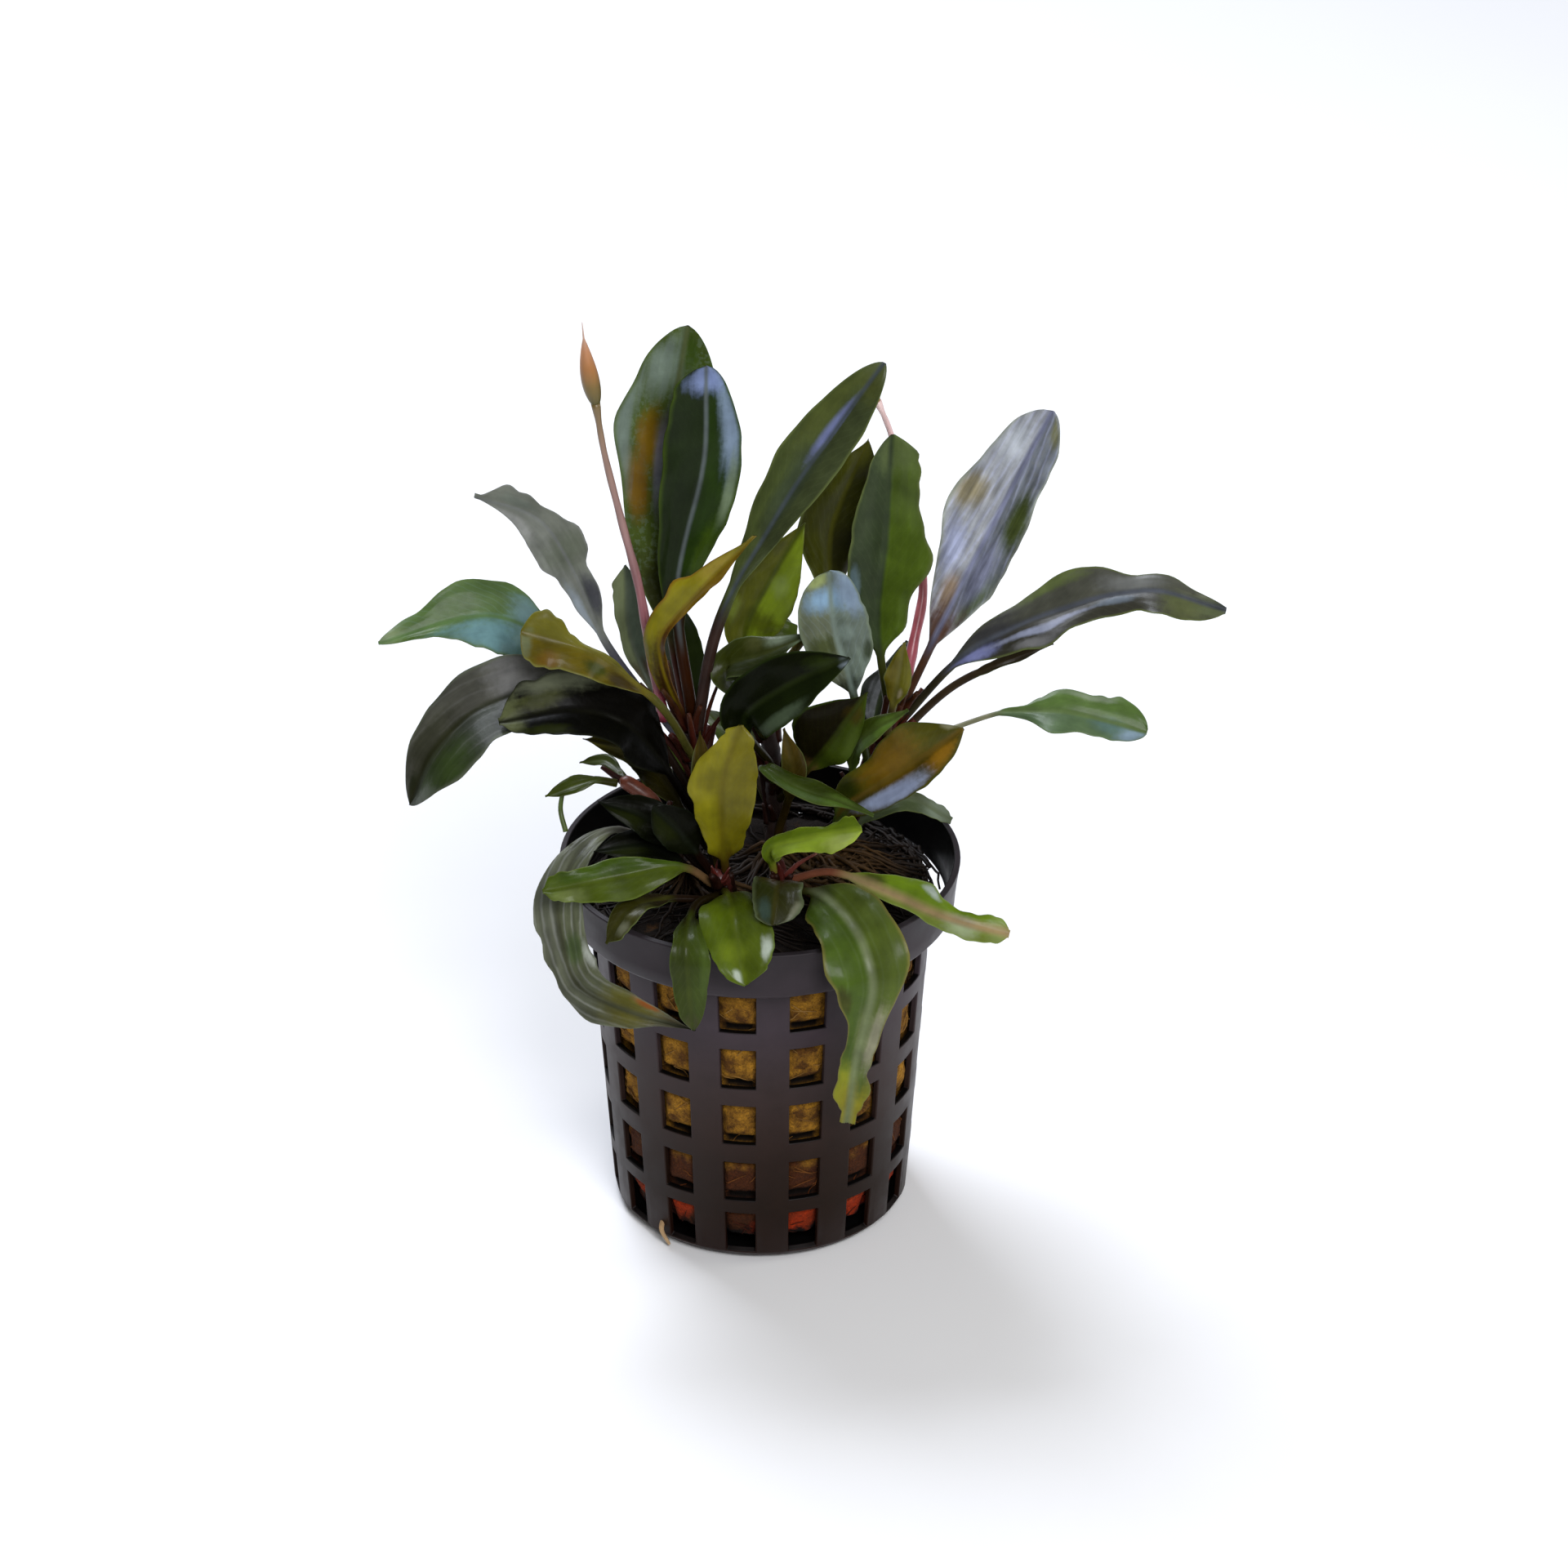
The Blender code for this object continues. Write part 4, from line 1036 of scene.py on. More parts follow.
LEAVES = (
    # Tall leaves of the left stem
    Leaf("leaf_tall_back_left", "stem_left", 0.98, ((-12.6, 8, 90), (-12.2, 11.5, 105), (-9.2, 13.5, 122.8)),
         14.2, "old_leaf_rust_mottled", stalk_radius=0.8, petiole=0.18, widest=0.62, tip=0.55, waves=3.1,
         minus=((0.2, 0.9), (0.4, 0.8), (0.5, 0.82), (0.7, 1.02), (0.8, 0.93), (0.9, 1.06)),
         plus=((0.8, 1.0), (0.9, 0.92))),
    Leaf("leaf_tall_left", "stem_left", 1.0, ((-10.8, 4, 89.5), (-7.2, 6, 107), (-6.8, 8, 119.6)), 9.8,
         "old_leaf_near_black", (0.2, -0.9, 0.3), stalk_radius=0.8, widest=0.6, base=1.1, tip=0.45,
         minus=((0.4, 0.9), (0.6, 1.1), (0.8, 1.27), (0.9, 1.5), (0.95, 1.8)),
         plus=((0.3, 0.85), (0.4, 0.88), (0.5, 1.0))),
    Leaf("leaf_tall_middle", "stem_left", 0.9, ((-5.3, 1, 86), (1.6, 2, 100), (8, 4, 109.7), (16, 6, 121)),
         8.8, "old_leaf_slate", (-0.4, -0.8, 0.3), stalk_radius=0.8, petiole=0.3, widest=0.6, base=1.6,
         tip=0.58,
         minus=((0.4, 1.05), (0.5, 0.93), (0.6, 1.03), (0.8, 1.0)),
         plus=((0.2, 0.75), (0.5, 0.8), (0.7, 0.93), (0.8, 1.0))),
    Leaf("leaf_young_left", "stem_left", 0.94, ((-13, -3, 85), (-8.4, -5, 93), (-0.5, -6, 102.2)), 5.0,
         "young_leaf_saffron", (-0.2, -0.9, 0.4), petiole=0.1, base=0.8, tip=1.2, wave=0.7,
         minus=((0.4, 1.0), (0.55, 1.05), (0.64, 1.5), (0.7, 1.1), (0.8, 1.2)),
         plus=((0.4, 0.4), (0.5, 0.3), (0.6, 0.3), (0.7, 0.5), (0.8, 0.85))),
    Leaf("leaf_hooked_upper_left", "stem_left", 0.82, ((-20.1, 5, 80.8), (-24.5, 6, 91.4), (-28.9, 7, 98.2),
         (-37, 5, 102.4)), 7.0, "upper_leaf_ash", (0.2, -0.9, 0.4), petiole=0.36, widest=0.45, base=1.7,
         tip=1.2,
         minus=((0.2, 0.85), (0.3, 0.68), (0.4, 0.7), (0.5, 1.12), (0.7, 1.25), (0.9, 0.9)),
         plus=((0.2, 1.0), (0.4, 0.56), (0.48, 0.95), (0.56, 1.08), (0.62, 0.82), (0.7, 0.75), (0.8, 1.3),
               (0.9, 3.0))),
    Leaf("leaf_small_behind_left", "stem_left", 0.74, ((-16.8, 9, 78.5), (-17.7, 11, 89.5)), 4.6,
         "small_leaf_sage", (0.3, -0.9, 0.3), petiole=0.35, tip=0.7,
         minus=((0.5, 0.65), (0.7, 0.9), (0.8, 1.2), (0.9, 1.9))),
    Leaf("leaf_far_left", "stem_left", 0.66, ((-18.5, 3, 75), (-25.7, 3, 81), (-35.2, 1, 87.2),
         (-49.5, -3, 85.2)), 10.0, "full_leaf_painted_sheen", (0, -0.7, 0.75), petiole=0.38, widest=0.56, base=1.2,
         tip=0.75, waves=2.8,
         minus=((0.3, 1.2), (0.5, 1.2), (0.6, 0.93), (0.7, 0.64), (0.8, 0.47), (0.9, 0.4)),
         plus=((0.3, 0.6), (0.5, 0.98), (0.6, 1.04), (0.8, 0.7), (0.9, 0.86))),
    Leaf("leaf_olive_left", "stem_left", 0.78, ((-12.8, -8, 78.6), (-18.8, -11, 86), (-24, -12, 89.4),
         (-30.5, -12, 91.4)), 6.2, "ageing_leaf_amber", (-0.2, -0.7, 0.7), petiole=0.45, widest=0.65, base=1.2,
         tip=0.6, wave=0.6,
         minus=((0.7, 1.1), (0.8, 1.4), (0.9, 2.0), (0.97, 2.8)),
         plus=((0.4, 0.3), (0.6, 0.3), (0.7, 0.5), (0.8, 1.05), (0.9, 1.8), (0.97, 2.4))),
    Leaf("leaf_big_left", "stem_left", 0.5, ((-17, -3, 75.8), (-26.5, -6, 80.2), (-36, -9, 78.8),
         (-42, -11.5, 74.2), (-45.5, -13, 66.8)), 12.4, "old_leaf_painted_grey_sheen", (0, -0.5, 0.85), (-0.7, -0.6, 0.4),
         petiole=0.3, widest=0.6, base=0.9, tip=0.6, fold=18,
         minus=((0.5, 1.0), (0.6, 1.05), (0.7, 1.35), (0.8, 1.55), (0.9, 1.42)),
         plus=((0.3, 0.8), (0.5, 0.8), (0.6, 0.88), (0.7, 0.76), (0.9, 0.62))),
    Leaf("leaf_under_left", "stem_left", 0.36, ((-17, -9.5, 76.4), (-24.3, -12, 80), (-33.5, -13.5, 79)), 8.6,
         "old_leaf_ink", (0, -0.6, 0.8), petiole=0.3, widest=0.4, tip=0.9,
         minus=((0.6, 1.0), (0.7, 1.15), (0.8, 1.36), (0.9, 1.95), (0.97, 3.0)),
         plus=((0.5, 1.05), (0.6, 1.34), (0.8, 1.95), (0.9, 3.2), (0.97, 4.0))),
    Leaf("leaf_yellow_left", "stem_left", 0.22, ((-16.3, 2, 66), (-23.4, 1, 68.8)), 5.0, "small_leaf_yellow",
         UPWARD, petiole=0.25),
    # Leaves of the side stem
    Leaf("leaf_curled_left", "stem_side", 0.3, ((-18.8, -3, 57.4), (-24, -8, 56.2), (-26.3, -12, 52.4),
         (-25.7, -17, 48), (-23.5, -21.5, 44.3), (-17, -25.5, 43), (-8.3, -27.5, 41.2)), 7.2,
         "ribbed_leaf_grey", (-0.2, -0.4, 0.9), (-0.3, -0.95, 0.2), petiole=0.15, base=0.8, pleat=0.16,
         wave=0.5,
         minus=((0.5, 1.0), (0.6, 1.25), (0.7, 1.0), (0.8, 1.12), (0.9, 1.3)),
         plus=((0.3, 1.0), (0.4, 0.85), (0.45, 0.62), (0.5, 0.7), (0.55, 0.55), (0.6, 0.68), (0.7, 1.05),
               (0.8, 1.0), (0.9, 0.5))),
    Leaf("leaf_tiny_left", "stem_side", 1.0, ((-22, -3, 64.8), (-28.3, -4, 63)), 2.6, "shoot_green", UPWARD,
         wave=0.1),
    Leaf("leaf_tiny_left_upper", "stem_side", 0.9, ((-20.5, 3.5, 64.2), (-24, 5.5, 62.8)), 2.0, "shoot_green",
         UPWARD, wave=0.1),
    # Leaves of the front left stem
    Leaf("leaf_front_upright", "stem_front_left", 0.98, ((-4.9, -14, 64), (-4.6, -15, 72), (-2.4, -15, 79.5)),
         9.2, "young_leaf_mustard", (0, -0.95, 0.25), petiole=0.08, widest=0.55, base=0.9, tip=0.8, wave=0.5,
         minus=((0.0, 1.3), (0.1, 1.2), (0.2, 0.75), (0.4, 0.82), (0.5, 0.81), (0.6, 1.0), (0.7, 0.95),
                (0.85, 0.85), (0.93, 1.1), (0.98, 2.2)),
         plus=((0.0, 1.3), (0.1, 1.5), (0.2, 1.08), (0.3, 0.9), (0.4, 0.92), (0.6, 1.0), (0.8, 1.18),
               (0.9, 1.35), (0.97, 2.2))),
    Leaf("leaf_olive_upright", "stem_front_left", 0.85, ((-7.5, -8, 67), (-7.8, -9, 75.5)), 3.2,
         "small_leaf_brown_tip", (0.3, -0.9, 0.3), petiole=0.3, wave=0.2),
    Leaf("leaf_front_left", "stem_front_left", 0.74, ((-10.2, -13, 57.4), (-18.1, -15, 57.2),
         (-28.3, -16, 55.4)), 6.2, "full_leaf_fresh", (0, -0.7, 0.7), widest=0.55, tip=0.9, wave=0.5,
         minus=((0.1, 1.3), (0.3, 1.2), (0.5, 1.25), (0.6, 1.08), (0.7, 0.97), (0.8, 1.1), (0.9, 1.6),
                (0.96, 2.6)),
         plus=((0.2, 0.7), (0.6, 0.8), (0.8, 0.9), (0.9, 1.5), (0.96, 2.6))),
    Leaf("leaf_dark_front_left", "stem_front_left", 0.5, ((-14, -7, 57), (-21.8, -9, 57.4)), 4.6,
         "old_leaf_black", UPWARD, petiole=0.3, wave=0.2),
    Leaf("leaf_dark_left", "stem_front_left", 0.66, ((-14, -7.5, 61), (-21.2, -8, 64.3)), 5.4,
         "old_leaf_black", (-0.2, -0.6, 0.8), petiole=0.3, wave=0.2),
    Leaf("leaf_dark_round_left", "stem_front_left", 0.99, ((-9.8, -13, 61.8), (-13.8, -13.5, 66.6)), 5.6,
         "old_leaf_black", (-0.1, -0.8, 0.6), petiole=0.3, tip=0.6, wave=0.2),
    Leaf("leaf_over_rim_left", "stem_front_left", 0.4, ((-13, -14.5, 53.4), (-17.3, -19, 54),
         (-20, -20.8, 50.4)), 4.2, "small_leaf_olive", (-0.4, -0.6, 0.7), petiole=0.35, wave=0.2,
         minus=((0.5, 1.0), (0.7, 1.3), (0.8, 1.6), (0.9, 2.6))),
    Leaf("leaf_hanging_left", "stem_front_left", 0.6, ((-8.4, -18, 54.4), (-9.3, -28, 54), (-8.6, -30, 42.8)),
         5.0, "full_leaf_grass", (0, -0.4, 0.9), (0, -1, 0), petiole=0.35, tip=0.7,
         minus=((0.3, 1.0), (0.5, 1.2), (0.7, 1.15), (0.8, 1.2), (0.9, 1.3)),
         plus=((0.3, 0.9), (0.4, 0.8), (0.6, 0.9), (0.8, 1.0), (0.9, 1.25))),
    Leaf("leaf_front_oval", "stem_front_left", 0.7, ((-3.9, -17, 54.8), (-3.2, -24, 55), (-1.7, -31, 50.2)),
         9.2, "full_leaf_spring", (0, -0.6, 0.8), (0, -0.95, 0.3), petiole=0.15, tip=0.7, arch=0.1,
         minus=((0.5, 1.0), (0.6, 1.05), (0.7, 1.2), (0.8, 1.35), (0.9, 1.7), (0.95, 2.2)),
         plus=((0.5, 0.95), (0.7, 1.0), (0.8, 1.08), (0.9, 1.25), (0.95, 1.5))),
    # Leaves of the front right stem
    Leaf("leaf_front_round", "stem_front_right", 0.85, ((2.3, -19, 58), (1.8, -26.5, 56.4)), 6.4,
         "round_leaf_pale_edge", (0, -0.6, 0.8), petiole=0.12, widest=0.55, base=0.7, tip=0.5, wave=0.2,
         minus=((0.6, 1.05), (0.8, 1.4), (0.9, 1.6), (0.96, 1.9)),
         plus=((0.7, 1.0), (0.8, 1.1), (0.9, 1.35), (0.96, 1.8))),
    Leaf("leaf_drooping_right", "stem_front_right", 0.6, ((8, -16, 55), (12.7, -25, 54.4), (14.6, -29, 49.8),
         (13.9, -28.5, 43.3), (12.6, -27.5, 36.5), (11.4, -25.5, 25.8)), 12.0, "hanging_leaf_striped",
         (0, -0.6, 0.8), (0.2, -0.98, 0.1), petiole=0.12, widest=0.38, base=0.9, tip=1.7, wave=0.45, waves=3.4,
         pleat=0.08,
         minus=((0.1, 1.1), (0.2, 0.97), (0.3, 0.83), (0.4, 0.89), (0.5, 0.6), (0.6, 0.53), (0.7, 0.68),
                (0.8, 1.05), (0.9, 3.4), (0.95, 6.0)),
         plus=((0.1, 1.4), (0.2, 1.0), (0.3, 0.87), (0.4, 0.97), (0.5, 0.83), (0.6, 0.58), (0.7, 0.57),
               (0.76, 0.9), (0.8, 1.23), (0.9, 3.4), (0.95, 5.0))),
    Leaf("leaf_pink_rib_right", "stem_front_right", 0.85, ((9.6, -13, 56.6), (18.1, -17, 55.1),
         (24.4, -20, 53.8), (32.5, -21, 51.9)), 4.8, "slim_leaf_pink_rib", (0.1, -0.6, 0.8), petiole=0.25,
         tip=0.7,
         minus=((0.2, 1.2), (0.3, 1.45), (0.5, 1.4), (0.6, 0.95), (0.7, 0.8), (0.8, 1.0), (0.9, 1.7),
                (0.96, 2.4)),
         plus=((0.2, 0.7), (0.5, 0.6), (0.6, 0.8), (0.7, 1.05), (0.8, 1.6), (0.9, 2.0), (0.96, 2.8))),
    Leaf("leaf_bright_right", "stem_front_right", 0.98, ((1.6, -13, 60.1), (6, -15, 62.7), (13.3, -17, 65.3)),
         5.6, "young_leaf_lime", (0, -0.6, 0.8), petiole=0.1, widest=0.6, tip=0.8,
         minus=((0.2, 0.9), (0.5, 0.6), (0.6, 0.46), (0.7, 0.46), (0.8, 0.78), (0.9, 1.5), (0.96, 2.4)),
         plus=((0.1, 1.4), (0.3, 1.0), (0.5, 0.7), (0.6, 0.75), (0.7, 1.0), (0.8, 1.5), (0.9, 1.8),
               (0.96, 2.2))),
    # Leaves of the middle stem
    Leaf("leaf_olive_behind", "stem_middle", 1.0, ((8.4, 12, 83), (9.6, 14, 94), (14.3, 16, 105.4)), 9.2,
         "ageing_leaf_olive", (0.3, -0.9, 0.2), petiole=0.35, widest=0.55, tip=0.8, wave=0.7,
         minus=((0.3, 1.0), (0.45, 1.15), (0.7, 1.0))),
    Leaf("leaf_two_tone", "stem_middle", 0.92, ((-2, 6, 81.5), (1.1, 7, 88.7), (5.9, 8, 97.2)), 9.0,
         "young_leaf_half_lime", widest=0.45,
         minus=((0.2, 0.8), (0.5, 0.75), (0.8, 0.8))),
    Leaf("leaf_dark_middle", "stem_middle", 0.6, ((-2, -6, 75.6), (3.7, -9, 82.2), (11.6, -11, 87.2)), 8.8,
         "old_leaf_moss_black", (0.1, -0.8, 0.6), petiole=0.3, tip=0.8),
    Leaf("leaf_dark_inner", "stem_middle", 0.4, ((8.6, -3, 69.5), (14, -5, 79)), 6.0, "shaded_leaf_green",
         (0.2, -0.8, 0.6), petiole=0.35,
         minus=((0.1, 1.2), (0.3, 1.8), (0.6, 2.0), (0.8, 1.7), (0.95, 1.2))),
    Leaf("leaf_small_brown", "stem_middle", 0.2, ((4.5, -1.5, 65.4), (3.2, -3, 72.4)), 3.4,
         "small_leaf_brown_tip", petiole=0.35, wave=0.2),
    Leaf("leaf_light_right", "stem_middle", 0.5, ((0.5, -2, 66.4), (4.8, -6, 65.6), (14.9, -11.5, 64.4)), 3.6,
         "small_leaf_moss", (0, -0.3, 0.95), petiole=0.25, wave=0.3),
    Leaf("leaf_dark_behind", "stem_middle", 0.75, ((-4.3, 1, 79.5), (0.5, -1, 82.6), (6.4, -2, 85.8)), 5.6,
         "painted_gloss_leaf_dark", UPWARD, petiole=0.25),
    # Leaves of the right stem
    Leaf("leaf_tall_right", "stem_right", 0.9, ((15.6, 7, 82.8), (16.6, 8.5, 95.5), (17.2, 10, 109)), 10.0,
         "full_leaf_two_tone", (0, -0.95, 0.2), tip=0.64, fold=24,
         minus=((0.6, 0.96), (0.8, 0.9), (0.9, 1.04)),
         plus=((0.1, 1.6), (0.3, 1.0), (0.5, 1.26), (0.6, 1.04), (0.7, 0.96), (0.8, 1.14), (0.9, 1.6),
               (0.95, 2.2))),
    Leaf("leaf_glossy_right", "stem_right", 0.97, ((24.6, 3, 86.6), (30.4, 3, 99.6), (37.6, 4, 115.1)), 11.6,
         "old_leaf_painted_blue_sheen", (-0.3, -0.85, 0.4), widest=0.55, base=1.1, tip=0.5, pleat=0.1,
         minus=((0.4, 1.0), (0.6, 1.1), (0.8, 1.05), (0.95, 1.15)),
         plus=((0.3, 1.0), (0.4, 0.9), (0.5, 0.8), (0.7, 0.72), (0.8, 0.85), (0.9, 1.02))),
    Leaf("leaf_far_right", "stem_right", 0.9, ((26.6, -1, 82.2), (36, -3, 88.8), (49.4, -5, 93.9),
         (60, -8, 92.6)), 8.2, "old_leaf_graphite", (-0.1, -0.6, 0.8), petiole=0.22, widest=0.42, base=1.2,
         tip=0.66, wave=0.6,
         minus=((0.3, 0.8), (0.5, 1.09), (0.6, 1.0), (0.7, 0.75), (0.8, 0.94), (0.9, 0.6)),
         plus=((0.3, 1.08), (0.4, 1.28), (0.5, 0.87), (0.6, 0.8), (0.7, 0.9), (0.8, 1.4), (0.9, 1.97),
               (0.95, 2.2))),
    Leaf("leaf_under_right", "stem_right", 0.8, ((25.2, 2, 76), (33, 0, 81.4), (38.4, -1, 84)), 3.6,
         "petiole_brown", (-0.1, -0.6, 0.8), petiole=0.55, wave=0.2,
         minus=((0.0, 1.0), (0.3, 0.45)),
         plus=((0.0, 1.0), (0.3, 0.45))),
    Leaf("leaf_small_right", "stem_right", 0.72, ((27.6, 5, 69.1), (33.4, 4, 71.4), (42, 3, 71.4),
         (51.2, 2, 69.3)), 6.2, "full_leaf_sea_green", UPWARD, stalk_radius=0.36, petiole=0.42, widest=0.55,
         tip=0.55,
         minus=((0.2, 0.47), (0.3, 0.92), (0.4, 1.15), (0.6, 0.94), (0.7, 1.13), (0.8, 1.65), (0.9, 1.7)),
         plus=((0.2, 0.7), (0.4, 1.45), (0.6, 0.9), (0.7, 0.93), (0.8, 1.26), (0.9, 1.46))),
    Leaf("leaf_pale_middle", "stem_right", 0.64, ((12, -1, 78), (9.7, -2, 87), (9, -2, 95.2)), 9.2,
         "young_leaf_painted_ice_sheen", petiole=0.4, widest=0.55, tip=0.34),
    Leaf("leaf_mottled_right", "stem_right", 0.2, ((11, -3, 60.5), (17.6, -7, 67.7), (26.5, -9, 75.8)), 9.8,
         "ageing_leaf_rust", (-0.1, -0.8, 0.6), widest=0.55, tip=0.8, waves=1.6,
         minus=((0.2, 1.0), (0.4, 0.8), (0.6, 1.0), (0.8, 1.25), (0.9, 1.2)),
         plus=((0.3, 0.8), (0.5, 0.67), (0.6, 0.75), (0.7, 0.85), (0.8, 0.92), (0.9, 1.0))),
    Leaf("leaf_strip_right", "stem_right", 0.45, ((12.8, -2.5, 70.2), (19.4, -4.5, 76.2)), 3.6,
         "small_leaf_moss", (-0.3, -0.6, 0.7), petiole=0.25, wave=0.2),
    Leaf("leaf_yellow_small", "stem_right", 0.82, ((17.9, -2, 78), (18.9, -2, 84.8)), 3.6, "small_leaf_khaki",
         (-0.2, -0.9, 0.3), petiole=0.4, wave=0.2),
    Leaf("leaf_rim_right", "stem_right", 0.1, ((14.1, 4, 55.4), (19.6, 6, 57), (25.7, 6, 53.6)), 4.0,
         "small_leaf_grey_green", (0.2, -0.5, 0.85), petiole=0.25, wave=0.2,
         minus=((0.1, 0.6), (0.3, 0.3), (0.4, 0.25), (0.5, 0.4), (0.6, 0.6), (0.7, 0.75), (0.8, 1.0),
                (0.9, 1.8), (0.96, 2.6)),
         plus=((0.7, 1.0), (0.85, 1.4), (0.93, 2.2), (0.98, 3.0))),
    # Leaves behind
    Leaf("leaf_back_left", "stem_left", 0.45, ((-11, 14, 74), (-14, 22, 83)), 8.0, "old_leaf_moss_black",
         (0, 0.8, 0.6), petiole=0.3),
    Leaf("leaf_back_middle", "stem_middle", 0.8, ((2, 17, 79), (3, 24, 84)), 8.0, "full_leaf_fresh",
         (0, 0.8, 0.6), petiole=0.3),
    Leaf("leaf_back_right", "stem_right", 0.55, ((16, 15, 67), (20, 25, 71)), 7.4, "old_leaf_moss_black",
         (0, 0.7, 0.7), petiole=0.3),
    Leaf("leaf_back_low", "stem_middle", 0.3, ((-3, 16, 60), (-8, 26, 60)), 6.6, "full_leaf_grass",
         (0, 0.5, 0.85), petiole=0.25),
)

# Polypropylene, injection-moulded in a lightly grained tool: satin, with broad soft reflections. Its
# colour is darker and browner towards the bottom, darker at the rim band and near black inside: all
# painted shade.
MOULDED_PP = GradedSkin(
    "polypropylene_moulded_satin",
    ((0.0, "#1e0b05"), (9.0, "#1c0f07"), (16.0, "#21140e"), (22.0, "#2b1e1a"), (29.0, "#322726"),
     (38.0, "#393035"), (POT_HEIGHT, "#2b2629")),
    roughness=0.42, grain_mm=1.6, contrast=0.14, relief_mm=0.03, specular=0.16, inner="#070606",
)
# Corky skins of the rhizomes: matt and rough, red where the growth is fresh.
OLD_BARK = GradedSkin(
    "rhizome_bark_brown", ((46.0, "#140b06"), (58.0, "#26120a"), (72.0, "#220e0a")),
    roughness=0.6, grain_mm=0.7, contrast=0.5, relief_mm=0.2,
)
CROWN_BARK = GradedSkin(
    "rhizome_bark_crimson", ((46.0, "#190a05"), (52.0, "#30100a"), (56.0, "#4c1208")),
    contrast=0.4, relief_mm=0.15, coat=0.2,
)
AMBER_BARK = replace(
    CROWN_BARK, name="rhizome_bark_amber", stops=((46.0, "#1c0e07"), (58.0, "#341808"), (65.0, "#6c3018"))
)
# Living stalk skin: thin, moist and slightly glossy, crimson at the foot and fading upwards.
STALK_SKIN = GradedSkin(
    "flower_stalk_skin_crimson",
    ((70.0, "#7c2c3c"), (80.0, "#8a3a48"), (88.0, "#8c5058"), (100.0, "#94706c"), (112.0, "#8a6c5c"),
     (120.0, "#6c5a2a")),
    roughness=0.38, coat=0.3, grain_mm=0.5, tall=9.0, contrast=0.22, relief_mm=0.05,
)
FAR_STALK_SKIN = replace(
    STALK_SKIN, name="flower_stalk_skin_rose", contrast=0.2,
    stops=((72.0, "#a05060"), (80.0, "#9c4650"), (90.0, "#b06a70"), (104.0, "#e0b4b4"), (112.0, "#e8ccc8")),
)
# Spathe of the bud, a rolled leaf: satin, salmon over a green foot, with a bleached point.
SPATHE_SKIN = GradedSkin(
    "flower_spathe_salmon",
    ((119.6, "#4a4412"), (122.0, "#6a5418"), (124.6, "#a06a36"), (126.8, "#bc845c"), (129.0, "#c8a490"),
     (131.0, "#d8c8c0")),
    roughness=0.4, coat=0.3, grain_mm=0.7, tall=7.0, contrast=0.2, relief_mm=0.06,
)
FAR_SPATHE_SKIN = replace(
    SPATHE_SKIN, name="flower_spathe_small", stops=((111.0, "#8a7038"), (113.0, "#b07c50"), (116.0, "#cfa88c"))
)
# Wet roots and shreds of old leaf bases: dark, matt and stringy.
ROOT_SKIN = GradedSkin(
    "root_skin_dark", ((46.0, "#0c0704"), (48.5, "#1a1109"), (51.5, "#3c2a14"), (56.0, "#22160b")),
    roughness=0.6, grain_mm=0.5, contrast=0.6, relief_mm=0.1, specular=0.15,
)
STUB_SKIN = GradedSkin(
    "old_stalk_skin_brown", ((48.0, "#140904"), (60.0, "#280e05"), (70.0, "#3a1006"), (80.0, "#3c260c")),
    grain_mm=0.5, tall=6.0, contrast=0.6, relief_mm=0.12, specular=0.2,
)
# Skins of the thinnest growth: soft and slightly moist.
TWIG_SKIN = GradedSkin(
    "young_shoot_rose", ((54.0, "#5c1c14"), (58.0, "#84443a"), (62.0, "#a0685a")),
    roughness=0.45, coat=0.2, grain_mm=0.5, contrast=0.25,
)
STRAND_SKIN = GradedSkin("thread_green", ((56.0, "#4c5a22"), (64.0, "#3c5010")), roughness=0.45)
# Mineral wool in single threads: matt spun stone, brown with water, and black at the foot as
# painted shade, as on the wool.
FIBRE_SKIN = GradedSkin(
    "mineral_wool_loose_fibre",
    ((0.0, "#0c0603"), (5.0, "#3a1408"), (9.0, "#5c2c10"), (20.0, "#6c4a1e"), (47.0, "#94703a")),
    roughness=0.9, grain_mm=1.2, contrast=0.4, specular=0.2,
)
SLIVER_SKIN = GradedSkin(
    "wool_thread_tan", ((0.0, "#b89a72"), (5.0, "#8a6c48")), roughness=0.9, grain_mm=0.4, relief_mm=0.1
)


